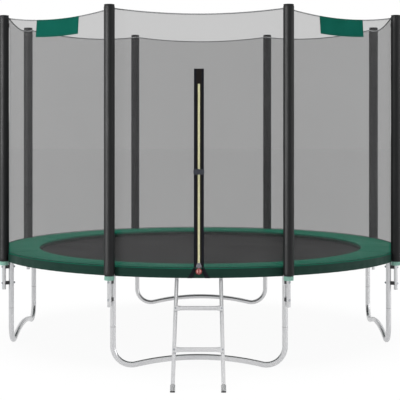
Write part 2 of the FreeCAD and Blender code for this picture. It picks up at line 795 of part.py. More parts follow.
def build_pad_ties():
    """Webbing loops under the rail that tie the pad down, one in the middle of each side."""
    body = new_body("pad_ties", on_ring(FRONT))
    inner = "(tube_od / 2 + seat_gap)"
    outer = f"({inner} + tie_thickness)"
    loop = new_sketch(body, "XY_Plane", ("rail_radius", "0", "rail_height"))
    draw_outline(loop, box_outline(inner, "-tie_width / 2", outer, "tie_width / 2"))
    revolve(body, loop, "V_Axis", "180")
    for sign in ("", "-"):
        near, far = f"{sign}{inner}", f"{sign}{outer}"
        tail = new_sketch(body, "XY_Plane", ("rail_radius", "0", "rail_height"))
        draw_outline(tail, box_outline(near, "-tie_width / 2", far, "tie_width / 2"))
        pad(body, tail, "tube_od / 2")
    repeat_body(body, "side_count")
    return body


# --- Net ------------------------------------------------------------------------------------------

def net_section(angle):
    """The closed outline of a net panel's thickness at an angle from the panel's middle."""
    half = math.radians(value(HALF_SIDE))
    share = math.tan(angle) / math.tan(half)
    top = value("net_top") - value("net_sag") * (1 - share ** 2)
    corners = []
    for radius in (value("net_radius"), value(NET_OUTER)):
        chord = radius * math.cos(half) / math.cos(angle)
        corners.append([(radius, value(NET_BOTTOM)), (chord, top)])
    outline = [corners[0][0], corners[1][0], corners[1][1], corners[0][1]]
    points = [FreeCAD.Vector(r * math.cos(angle), r * math.sin(angle), z) for r, z in outline]
    return Part.makePolygon(points + points[:1])


def build_net():
    """The net: one mesh panel for each side, round at the pad and straight between the poles' tops."""
    half = math.radians(value(HALF_SIDE))
    strips = SIZES["net_strips"]
    angles = [half * (2 * index / strips - 1) for index in range(strips + 1)]
    panel = Part.makeLoft([net_section(angle) for angle in angles], True, True)
    panels = []
    for direction in side_directions():
        turned = panel.copy()
        turned.Placement = turn(UP, direction)
        panels.append(turned)
    feature = doc.addObject("Part::Feature", "safety_net")
    feature.Shape = Part.makeCompound(panels)
    feature.Placement = RING
    return feature


def build_hem():
    """The cord sewn into the net's top edge, sagging a little between the poles."""
    body = new_body("net_top_hem", on_ring(FRONT) * move(x=value(f"net_radius * cos({HALF_SIDE})")))
    half = f"(net_radius * sin({HALF_SIDE}) - hem_cord / 4)"
    high = "(net_top + seat_gap + net_sag / net_strips / net_strips + hem_cord / 2)"
    low = f"({high} - net_sag)"
    side, top, drop = value(half), value(high), value("net_sag")
    spine = new_sketch(body, "YZ_Plane")
    ends = [FreeCAD.Vector(-side, top, 0), FreeCAD.Vector(0, top - drop, 0), FreeCAD.Vector(side, top, 0)]
    arc = spine.addGeometry(Part.Arc(*ends))
    pin_point(spine, arc, 1, f"-{half}", high)
    pin_point(spine, arc, 2, half, high)
    middle = spine.addGeometry(Part.Point(ends[1]), True)
    spine.addConstraint(Sketcher.Constraint("PointOnObject", middle, 1, -2))
    spine.addConstraint(Sketcher.Constraint("PointOnObject", middle, 1, arc))
    index = spine.addConstraint(Sketcher.Constraint("DistanceY", -1, 1, middle, 1, top - drop))
    bind(spine, f"Constraints[{index}]", low)
    section = new_sketch(body, "XZ_Plane", ("0", "0", half))
    draw_circle(section, "net_thickness / 2", high, "hem_cord / 2")
    doc.recompute()
    pipe = add_feature(body, "AdditivePipe", section)
    pipe.Spine = (spine, [])
    doc.recompute()
    spans = []
    for direction in side_directions():
        span = body.Shape.copy()
        span.Placement = on_ring(direction) * on_ring(FRONT).inverse() * span.Placement
        spans.append(span)
    body.Label = "hem_span"
    feature = doc.addObject("Part::Feature", "net_top_hem_ring")
    feature.Label = "net_top_hem"
    feature.Shape = Part.makeCompound(spans)
    return feature


def build_bottom_cord():
    """The cord along the net's lower edge, which lies on the pad."""
    body = new_body("net_bottom_cord", RING)
    section = new_sketch(body, "XZ_Plane")
    draw_circle(section, "net_radius + net_thickness / 2", f"{PAD_TOP} + seat_gap + net_cord / 2", "net_cord / 2")
    revolve(body, section)
    return body


def build_top_ties():
    """Webbing tabs that join the net's corners to the sleeves near the poles' tops."""
    body = new_body("net_ties", pole_frame())
    section = new_sketch(body, "XZ_Plane")
    near = f"({NET_OUTER} + seat_gap)"
    far = "(pole_radius - sleeve_od / 2 - seat_gap)"
    draw_outline(section, box_outline(near, "net_top - 2 * top_tie_height", far, "net_top - top_tie_height"))
    pad(body, section, "top_tie_width", symmetric=True)
    repeat_body(body, "side_count")
    return body


def panel_frame(direction, height):
    """A frame on a net panel's outer face, on its middle line: Z up the slope and X outward."""
    lean = value(DOOR_LEAN)
    share = (height - value(NET_BOTTOM)) / (value(NET_MID_TOP) - value(NET_BOTTOM))
    radius = value(NET_OUTER) * (1 - share * (1 - math.cos(math.radians(value(HALF_SIDE)))))
    return on_ring(direction) * move(x=radius, z=height) * turn(INWARD, -lean)


def build_patches():
    """Plain cloth patches sewn on the two panels beside the front one."""
    patches = []
    for side in (-1, 1):
        label = "left_patch" if side < 0 else "right_patch"
        direction = FRONT + side * 2 * value(HALF_SIDE)
        frame = panel_frame(direction, value(f"{NET_MID_TOP} - 1"))
        body = new_body(label, frame)
        face = new_sketch(body, "YZ_Plane", ("0", "0", "patch_gap"))
        draw_outline(face, box_outline("-patch_width / 2", "-patch_height", "patch_width / 2", "0"))
        pad(body, face, "patch_thickness")
        patches.append(body)
    doc.recompute()
    feature = doc.addObject("Part::Feature", "name_patches")
    feature.Shape = Part.makeCompound([body.Shape for body in patches])
    return feature


# --- Door -----------------------------------------------------------------------------------------

def door_frame(height=None):
    """The door's frame at a height up the front panel."""
    return panel_frame(FRONT, value(NET_BOTTOM) if height is None else height)


def slope(height):
    """The distance up the door's slope to a height."""
    return f"(({height} - {NET_BOTTOM}) / cos({DOOR_LEAN}))"


DOOR_FACE = "(seat_gap + door_thickness)"
TEETH_BACK = f"({DOOR_FACE} + seat_gap)"
TEETH_FACE = f"({TEETH_BACK} + teeth_thickness)"


def build_door_band():
    """The zip's woven tapes and facing, one black band up the front panel."""
    body = new_body("door_band", door_frame())
    face = new_sketch(body, "YZ_Plane", ("0", "0", "seat_gap"))
    draw_outline(face, box_outline("-door_width / 2", "0", "door_width / 2", slope("door_top")))
    pad(body, face, "door_thickness")
    return body


def build_teeth():
    """The closed zip's two rows of teeth, from the slider up."""
    body = new_body("zip_teeth", door_frame())
    face = new_sketch(body, "YZ_Plane", ("0", "0", TEETH_BACK))
    low = f"{slope('slider_height')} + slider_length / 3"
    draw_outline(face, box_outline("-teeth_width / 2", low, "teeth_width / 2", slope("teeth_top")))
    pad(body, face, "teeth_thickness")
    return body


def build_slider():
    """The zip slider: a shouldered plate with side flanges round the teeth and a bridge for the pull."""
    body = new_body("zip_slider", door_frame())
    low = slope("slider_height")
    high = f"{low} + slider_length"
    shape = new_sketch(body, "YZ_Plane", ("0", "0", TEETH_BACK))
    draw_outline(shape, [
        ("-slider_shoulder_width / 2", low), ("slider_shoulder_width / 2", low),
        ("slider_shoulder_width / 2", f"{low} + slider_length / 3"), ("slider_top_width / 2", high),
        ("-slider_top_width / 2", high), ("-slider_shoulder_width / 2", f"{low} + slider_length / 3"),
    ])
    pad(body, shape, "teeth_thickness + seat_gap + slider_front")
    channel = new_sketch(body, "YZ_Plane", ("0", "0", f"{TEETH_FACE} + seat_gap"))
    half = "(teeth_width / 2 + seat_gap)"
    draw_outline(channel, box_outline(f"-{half}", f"{low} - 1", half, f"{high} + 1"))
    cut_blind(body, channel, "teeth_thickness + 2 * seat_gap")
    bridge = new_sketch(body, "YZ_Plane", ("0", "0", f"{TEETH_FACE} + seat_gap + slider_front"))
    middle = f"({low} + slider_length / 2)"
    draw_outline(bridge, box_outline(
        "-bridge_width / 2", f"{middle} - bridge_length / 2", "bridge_width / 2", f"{middle} + bridge_length / 2"))
    pad(body, bridge, "bridge_depth")
    eye = new_sketch(body, "XZ_Plane")
    draw_circle(eye, PIN_OUT, PIN_UP, "pin_diameter / 2 + pin_clearance")
    cut_through(body, eye)
    return body


PIN_UP = f"({slope('slider_height')} + slider_length / 2)"
PIN_OUT = f"({TEETH_FACE} + seat_gap + slider_front + bridge_depth / 2)"


def pull_frame():
    """The pull tab's frame: origin on its pin, Z up along the tab, X outward."""
    hinge = door_frame() * move(x=value(PIN_OUT), z=value(PIN_UP))
    return hinge * turn(INWARD, value(DOOR_LEAN)) * turn(INWARD, -value("pull_lean"))


def build_pull_tab():
    """The slider's metal tab: a pin through the bridge, two arms and a plate."""
    body = new_body("zip_pull_tab", pull_frame())
    pin = new_sketch(body, "XZ_Plane")
    draw_circle(pin, "0", "0", "pin_diameter / 2")
    pad(body, pin, "pin_reach", symmetric=True)
    arm_end = "(bridge_length / 2 + 3)"
    for side in ("-", ""):
        near, far = f"{side}(bridge_width / 2 + 2 * seat_gap)", f"{side}(pin_reach / 2)"
        arm = new_sketch(body, "YZ_Plane", ("0", "0", "-pull_thickness / 2"))
        draw_outline(arm, box_outline(near, f"-{arm_end} - 2", far, "pin_diameter / 2"))
        pad(body, arm, "pull_thickness")
    plate = new_sketch(body, "YZ_Plane", ("0", "0", "-pull_thickness / 2"))
    draw_outline(plate, box_outline("-pull_width / 2", "-pull_length", "pull_width / 2", f"-{arm_end}"))
    pad(body, plate, "pull_thickness")
    return body


def build_toggle():
    """The moulded toggle that the pull tab's end is set in."""
    body = new_body("zip_toggle", pull_frame())
    middle = "(-pull_length + toggle_slot - toggle_diameter / 2)"
    disc = new_sketch(body, "YZ_Plane")
    draw_circle(disc, "0", middle, "toggle_diameter / 2")
    pad(body, disc, "toggle_thickness", symmetric=True)
    slot = new_sketch(body, "XZ_Plane")
    half = "(pull_thickness / 2 + swage_clearance)"
    draw_outline(slot, box_outline(f"-{half}", "-pull_length - swage_clearance", half, "0"))
    doc.recompute()
    cut = add_feature(body, "Pocket", slot)
    cut.SideType = "Symmetric"
    bind(cut, "Length", "pull_width + 2 * swage_clearance")
    return body


def build_door_tapes():
    """The two tape ends that spread over the pad's edge at the foot of the door."""
    body = new_body("door_tapes", on_ring(FRONT))
    thickness = "door_thickness"
    face = "(pad_outer_radius + seat_gap)"
    lift = f"({PAD_TOP} + seat_gap)"
    near = "(net_radius + net_thickness / 2 + net_cord / 2 + 2 * seat_gap)"
    for side in ("", "-"):
        top = new_sketch(body, "XY_Plane", ("0", "0", lift))
        inner = f"{side}tape_inner"
        outer = f"{side}tape_outer"
        draw_outline(top, box_outline(near, inner, f"{face} + {thickness}", outer))
        pad(body, top, thickness)
        drop = new_sketch(body, "YZ_Plane", ("0", "0", face))
        draw_outline(drop, [
            (inner, f"{lift} + {thickness}"), (outer, f"{lift} + {thickness}"),
            (f"{side}tape_foot_outer", "skirt_bottom"), (f"{side}tape_foot_inner", "skirt_bottom"),
        ])
        pad(body, drop, thickness)
    return body


def buckle_frame():
    """The buckle's frame, clear of the zip's teeth: X outward, Y along the buckle."""
    return door_frame(value("buckle_height"))


BUCKLE_BACK = f"({TEETH_FACE} + buckle_clearance)"
BUCKLE_MIDDLE = f"({BUCKLE_BACK} + buckle_thickness / 2)"


def build_buckle_socket():
    """The buckle's hollow half, open towards the plug."""
    body = new_body("buckle_socket", buckle_frame())
    shape = new_sketch(body, "YZ_Plane", ("0", "0", BUCKLE_MIDDLE))
    outer = "(-buckle_length / 2)"
    half = "(buckle_width / 2)"
    bevel = "(buckle_width / 5)"
    draw_outline(shape, [
        (outer, f"-{half} + {bevel}"), (f"{outer} + {bevel}", f"-{half}"), ("buckle_split", f"-{half}"),
        ("buckle_split", half), (f"{outer} + {bevel}", half), (outer, f"{half} - {bevel}"),
    ])
    pad(body, shape, "buckle_thickness", symmetric=True)
    mouth = new_sketch(body, "YZ_Plane", ("0", "0", BUCKLE_MIDDLE))
    side = f"({half} - 2 * buckle_wall)"
    floor = "(buckle_split - buckle_tongue - buckle_wall)"
    draw_outline(mouth, box_outline(floor, f"-{side}", "buckle_split + 1", side))
    doc.recompute()
    cut = add_feature(body, "Pocket", mouth)
    cut.SideType = "Symmetric"
    bind(cut, "Length", "buckle_thickness - 2 * buckle_wall")
    return body


def build_buckle_plug():
    """The buckle's plug: a grip with a tongue that fills the socket."""
    body = new_body("buckle_plug", buckle_frame())
    half = "(buckle_width / 2)"
    bevel = "(buckle_width / 5)"
    start = "(buckle_split + buckle_clearance)"
    end = "(buckle_length / 2)"
    grip = new_sketch(body, "YZ_Plane", ("0", "0", BUCKLE_MIDDLE))
    draw_outline(grip, [
        (start, f"-{half}"), (f"{end} - {bevel}", f"-{half}"), (end, f"-{half} + {bevel}"),
        (end, f"{half} - {bevel}"), (f"{end} - {bevel}", half), (start, half),
    ])
    pad(body, grip, "buckle_thickness", symmetric=True)
    tongue = new_sketch(body, "YZ_Plane", ("0", "0", BUCKLE_MIDDLE))
    side = f"({half} - 2 * buckle_wall - buckle_clearance)"
    draw_outline(tongue, box_outline("buckle_split - buckle_tongue", f"-{side}", f"{start} + 1", side))
    pad(body, tongue, "buckle_thickness - 2 * buckle_wall - 2 * buckle_clearance", symmetric=True)
    return body


# --- Ladder ---------------------------------------------------------------------------------------

def ladder_frame():
    """The ladder's frame: origin over the rail that it hooks on, Z up along the stiles, Y inward and down."""
    return RING * move(y=-value(HINGE_REACH), z=value("rail_height")) * turn(ACROSS, -value("ladder_lean"))


STILE_END = (
    "((stile_foot_height - rail_height + stile_offset * sin(ladder_lean)) / cos(ladder_lean))"
)
RUNG_OFFSET = "(stile_offset - stile_od / 2 - seat_gap - rung_flat_thickness / 2)"


def stile_half_spacing(drop):
    """Half the distance between the stiles' centre lines at a drop below the hooks."""
    return f"(hook_half_spacing + {drop} * tan(ladder_splay))"


def stile_frame(side):
    """One stile's frame, splayed a little outward at the foot."""
    return ladder_frame() * move(x=side * value("hook_half_spacing")) * turn(INWARD, -side * value("ladder_splay"))


def build_stile(label, side):
    """A ladder stile: a tube closed by a welded plug, with a flat hook that wraps the rail."""
    body = new_body(label, stile_frame(side))
    tube = new_sketch(body, "XY_Plane", ("0", "0", STILE_END))
    tube_ring(tube, "0", "stile_offset", "stile_od / 2", "stile_od / 2 - stile_wall")
    pad(body, tube, f"-stile_top_drop - {STILE_END}")
    plug = new_sketch(body, "XY_Plane", ("0", "0", "-stile_top_drop - plug_thickness"))
    draw_circle(plug, "0", "stile_offset", "stile_od / 2")
    pad(body, plug, "plug_thickness")
    outer = "(hook_inner_radius + hook_thickness)"
    hook = new_sketch(body, "XZ_Plane")
    draw_outline(hook, box_outline("-hook_width / 2", f"-{outer}", "hook_width / 2", "-hook_inner_radius"))
    revolve(body, hook, "H_Axis", "hook_arc", backward=True)
    gusset = new_sketch(body, "YZ_Plane")
    draw_outline(gusset, [
        ("-hook_thickness", "-hook_inner_radius - 0.6"), ("-hook_thickness", f"-{outer}"),
        ("stile_offset / 3", "-stile_top_drop - plug_thickness / 2"),
        ("stile_offset", "-stile_top_drop - plug_thickness / 2"),
        ("hook_inner_radius / 2", "-hook_inner_radius - 1.5"),
    ])
    pad(body, gusset, "hook_width", symmetric=True)
    for drop in ("rung_upper_drop", "rung_lower_drop"):
        hole = new_sketch(body, "XZ_Plane")
        draw_circle(hole, "0", f"-{drop} / cos(ladder_splay)", "rung_bolt_diameter / 2 + bolt_hole_clearance")
        cut_through(body, hole)
    return body


def add_ellipse(label, across, drop, tall, thick):
    """An elliptical section across a rung; its long axis runs along the stiles."""
    ellipse = doc.addObject("Part::Ellipse", label)
    bind(ellipse, "MajorRadius", tall)
    bind(ellipse, "MinorRadius", thick)
    ellipse.Placement = FreeCAD.Placement(
        FreeCAD.Vector(value(across), value(RUNG_OFFSET), -value(drop)),
        FreeCAD.Rotation(FreeCAD.Vector(*UP), FreeCAD.Vector(*INWARD), FreeCAD.Vector(*ACROSS), "XZY"))
    return ellipse


def rung_loft(label, drop, shrink):
    """A loft along the rung, round in the middle and pressed flat at both ends."""
    half = stile_half_spacing(drop)
    end = f"({half} + rung_lap)"
    flat = f"({half} - stile_od / 2)"
    sections = [
        (f"-{end}", False), (f"-{flat}", False), (f"-({flat} - rung_taper)", True),
        (f"({flat} - rung_taper)", True), (flat, False), (end, False),
    ]
    ellipses = []
    for index, (across, is_round) in enumerate(sections):
        tall = "rung_diameter / 2" if is_round else "rung_flat_width / 2"
        thick = "rung_diameter / 2" if is_round else "rung_flat_thickness / 2"
        ellipses.append(add_ellipse(
            f"{label}_section_{index}", across, drop, f"{tall} - {shrink}", f"{thick} - {shrink}"))
    loft = doc.addObject("Part::Loft", label)
    loft.Sections = ellipses
    loft.Solid = True
    loft.Ruled = True
    return loft


def build_rung(label, drop):
    """A rung: a round tube with flattened ends that lap the stiles and are bolted to them."""
    outer = rung_loft(f"{label}_outer", drop, "0")
    inner = rung_loft(f"{label}_inner", drop, "rung_wall")
    hollow = doc.addObject("Part::Cut", f"{label}_hollow")
    hollow.Base = outer
    hollow.Tool = inner
    rung = hollow
    for side in (-1, 1):
        drill = doc.addObject("Part::Cylinder", f"{label}_drill")
        bind(drill, "Radius", "rung_bolt_diameter / 2 + bolt_hole_clearance")
        bind(drill, "Height", "4 * stile_od")
        drill.Placement = FreeCAD.Placement(
            FreeCAD.Vector(side * value(stile_half_spacing(drop)), value("2 * stile_od"), -value(drop)),
            FreeCAD.Rotation(FreeCAD.Vector(*ACROSS), 90))
        cut = doc.addObject("Part::Cut", f"{label}_drilled")
        cut.Base = rung
        cut.Tool = drill
        rung = cut
    rung.Label = label
    rung.Placement = ladder_frame()
    return rung


def build_ladder_bolts():
    """Bolts through the rungs' flat ends and the stiles, with a round head in front and one behind."""
    body = new_body("ladder_bolts", ladder_frame())
    front = f"({RUNG_OFFSET} - rung_flat_thickness / 2 - seat_gap)"
    back = "(stile_offset + stile_od / 2 + seat_gap)"
    for drop in ("rung_upper_drop", "rung_lower_drop"):
        for side in ("-", ""):
            across = f"{side}{stile_half_spacing(drop)}"
            shank = new_sketch(body, "XZ_Plane", ("0", "0", f"-{back}"))
            draw_circle(shank, across, f"-{drop}", "rung_bolt_diameter / 2")
            pad(body, shank, f"{back} - {front}")
            for start in (f"-{back} - rung_bolt_head_height", f"-{front}"):
                head = new_sketch(body, "XZ_Plane", ("0", "0", start))
                draw_circle(head, across, f"-{drop}", "rung_bolt_head / 2")
                pad(body, head, "rung_bolt_head_height")
    return body


def build_feet():
    """Rubber caps on the stiles' lower ends, cut level where they meet the ground."""
    outer = "stile_od / 2 + foot_cap_wall"
    reach = "foot_cap_sole"
    feet = []
    for side in (-1, 1):
        name = "left" if side < 0 else "right"
        shell = doc.addObject("Part::Cylinder", f"foot_shell_{name}")
        bind(shell, "Radius", outer)
        bind(shell, "Height", f"foot_cap_length + {reach}")
        bore = doc.addObject("Part::Cylinder", f"foot_bore_{name}")
        bind(bore, "Radius", "stile_od / 2 + swage_clearance")
        bind(bore, "Height", "2 * foot_cap_length")
        end = stile_frame(side) * move(y=value("stile_offset"), z=value(STILE_END))
        shell.Placement = end * move(z=-value(reach))
        bore.Placement = end * move(z=-value("swage_clearance"))
        ground = doc.addObject("Part::Box", f"ground_{name}")
        for size in ("Length", "Width", "Height"):
            bind(ground, size, "16 * stile_od")
        edge = value("16 * stile_od")
        place = end.Base
        ground.Placement = move(place.x - edge / 2, place.y - edge / 2, -edge)
        hollow = doc.addObject("Part::Cut", f"foot_hollow_{name}")
        hollow.Base, hollow.Tool = shell, bore
        foot = doc.addObject("Part::Cut", f"foot_{name}")
        foot.Base, foot.Tool = hollow, ground
        feet.append(foot)
    group = doc.addObject("Part::Compound", "ladder_feet")
    group.Links = feet
    return group


# --- The whole trampoline -------------------------------------------------------------------------

def build_all():
    """Build every sub-part and return them with their file names as Labels."""
    parts = []
    half = value(HALF_SIDE)
    for number, direction in enumerate(side_directions(half), start=1):
        parts.append(build_rail(f"rail_{number}", direction))
        parts.append(build_upright(f"leg_upright_{number}", direction))
        parts.append(build_sleeve(f"foam_sleeve_{number}", direction))
    for name, direction in (("front", FRONT), ("right", 0.0), ("back", -FRONT), ("left", 180.0)):
        parts.append(build_leg_base(f"leg_base_{name}", direction))
    parts += [build_lower_poles(), build_upper_poles(), build_caps(), build_cuffs()]
    parts += [build_spacers(), build_fasteners()]
    parts += [build_mat(), build_mat_band(), build_mat_rings(), build_springs()]
    parts += [build_pad(), build_skirt(), build_pad_ties()]
    parts += [build_net(), build_hem(), build_bottom_cord(), build_top_ties(), build_patches()]
    parts += [build_door_band(), build_teeth(), build_slider(), build_pull_tab(), build_toggle()]
    parts += [build_door_tapes(), build_buckle_socket(), build_buckle_plug()]
    parts += [build_stile("ladder_stile_left", -1), build_stile("ladder_stile_right", 1)]
    parts += [build_rung("ladder_rung_upper", "rung_upper_drop"), build_rung("ladder_rung_lower", "rung_lower_drop")]
    parts += [build_ladder_bolts(), build_feet()]
    return parts


def check_document():
    """Stop if anything in the document failed to build."""
    for item in doc.Objects:
        if any(state in ("Invalid", "Error") for state in item.State):
            raise RuntimeError(f"{item.Label} did not build: {item.State}")


def write_parts(parts):
    """Check each sub-part's shape and write it to a file of its own."""
    os.makedirs("parts", exist_ok=True)
    labels = [part.Label for part in parts]
    if len(set(labels)) != len(labels) or len(labels) > 60:
        raise RuntimeError("sub-parts need up to 60 different names")
    for part in parts:
        if part.Shape.isNull() or not part.Shape.isValid() or not part.Shape.Solids:
            raise RuntimeError(f"{part.Label} has no valid solid")
    for part in parts:
        part.Shape.exportStep(os.path.join("parts", f"{part.Label}.step"))


sub_parts = build_all()
doc.recompute()
check_document()
write_parts(sub_parts)
print(f"{len(sub_parts)} sub-parts, {sum(len(part.Shape.Solids) for part in sub_parts)} solids")
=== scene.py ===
"""A round garden trampoline with a net enclosure: finishes, soft goods, springs and studio."""

import json
import logging
import math
from dataclasses import dataclass, field
from enum import Enum
from typing import Iterable, Sequence

import bmesh
import bpy
from mathutils import Matrix, Vector, noise

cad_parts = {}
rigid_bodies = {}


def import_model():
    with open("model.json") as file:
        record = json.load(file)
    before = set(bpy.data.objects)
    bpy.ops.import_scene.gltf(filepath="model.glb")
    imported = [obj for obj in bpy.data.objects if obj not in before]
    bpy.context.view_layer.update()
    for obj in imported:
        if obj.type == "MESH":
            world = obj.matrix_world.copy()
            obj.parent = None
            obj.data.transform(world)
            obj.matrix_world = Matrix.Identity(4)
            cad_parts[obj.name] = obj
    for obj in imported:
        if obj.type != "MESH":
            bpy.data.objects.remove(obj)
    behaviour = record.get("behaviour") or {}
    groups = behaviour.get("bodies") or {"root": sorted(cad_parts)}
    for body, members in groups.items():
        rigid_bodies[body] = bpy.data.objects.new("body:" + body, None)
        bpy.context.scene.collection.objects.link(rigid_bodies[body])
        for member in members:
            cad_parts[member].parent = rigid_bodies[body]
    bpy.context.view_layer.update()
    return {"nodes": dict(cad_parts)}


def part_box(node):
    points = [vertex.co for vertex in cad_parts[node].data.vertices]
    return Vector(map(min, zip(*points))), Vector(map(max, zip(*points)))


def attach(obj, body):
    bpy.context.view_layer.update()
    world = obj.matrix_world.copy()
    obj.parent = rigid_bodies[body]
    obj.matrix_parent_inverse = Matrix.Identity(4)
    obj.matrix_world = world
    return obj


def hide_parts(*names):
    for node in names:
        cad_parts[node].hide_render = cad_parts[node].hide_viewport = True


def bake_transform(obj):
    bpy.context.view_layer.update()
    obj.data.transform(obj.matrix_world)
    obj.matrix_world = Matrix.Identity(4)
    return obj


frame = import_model()
LOG = logging.getLogger("trampoline")

UP = Vector((0.0, 0.0, 1.0))
RIGHT = Vector((1.0, 0.0, 0.0))
WHITE = (1.0, 1.0, 1.0, 1.0)


# Geometry helpers


def linear(*display: int) -> tuple[float, ...]:
    """Turn a display colour of 0 to 255 into the linear values and alpha that a shader takes."""
    parts = [value / 255 for value in display]
    return (*(part / 12.92 if part <= 0.04045 else ((part + 0.055) / 1.055) ** 2.4 for part in parts), 1.0)


def smooth_step(value: float) -> float:
    """Ease from 0 to 1 with level ends."""
    value = min(max(value, 0.0), 1.0)
    return value * value * (3 - 2 * value)


def spoke(turn: float) -> Vector:
    """The level direction at an angle in radians."""
    return Vector((math.cos(turn), math.sin(turn), 0.0))


def turns(steps: int) -> list[float]:
    """Even angles round a circle, in radians."""
    return [2 * math.pi * step / steps for step in range(steps)]


def circle(centre: Vector, radius: float, steps: int) -> list[Vector]:
    """Points round a level circle."""
    return [centre + spoke(turn) * radius for turn in turns(steps)]


def shares(parts: int) -> list[float]:
    """Even shares from 0 to 1, both included."""
    return [part / parts for part in range(parts + 1)]


def levels(low: float, high: float, parts: int) -> list[float]:
    """Even steps from a low value to a high one, both included."""
    return [low + (high - low) * part / parts for part in range(parts + 1)]


@dataclass
class Ring:
    """The circle that everything stands round, with the ladder side at -90 degrees.

    Attributes:
        centre: The middle of the jumping mat.
        sides: How many net panels, poles and legs go round.
    """

    centre: Vector
    sides: int = 8

    @property
    def half_side(self) -> float:
        """Half of one panel's angle, in degrees."""
        return 180 / self.sides

    def out(self, degrees: float) -> Vector:
        """The level direction away from the centre."""
        return spoke(math.radians(degrees))

    def along(self, degrees: float) -> Vector:
        """The level direction that goes round the ring, anticlockwise from above."""
        return self.out(degrees + 90)

    def at(self, radius: float, degrees: float, height: float) -> Vector:
        """A point at a radius, direction and height above the ground."""
        flat = self.out(degrees) * radius
        return Vector((self.centre.x + flat.x, self.centre.y + flat.y, height))

    def panels(self) -> list[float]:
        """The direction of the middle of each net panel, the front one first."""
        return [-90 + 2 * self.half_side * index for index in range(self.sides)]

    def poles(self) -> list[float]:
        """The direction of each pole, in the order of the frame's own numbers."""
        return [direction + self.half_side for direction in self.panels()]

    def circuit(self, steps: int) -> list[float]:
        """Even directions all the way round."""
        return [360 * step / steps for step in range(steps)]

    def off_pole(self, degrees: float) -> float:
        """How far a direction lies from its panel's pole, in degrees, before or after it."""
        return (degrees + 90) % (2 * self.half_side) - self.half_side


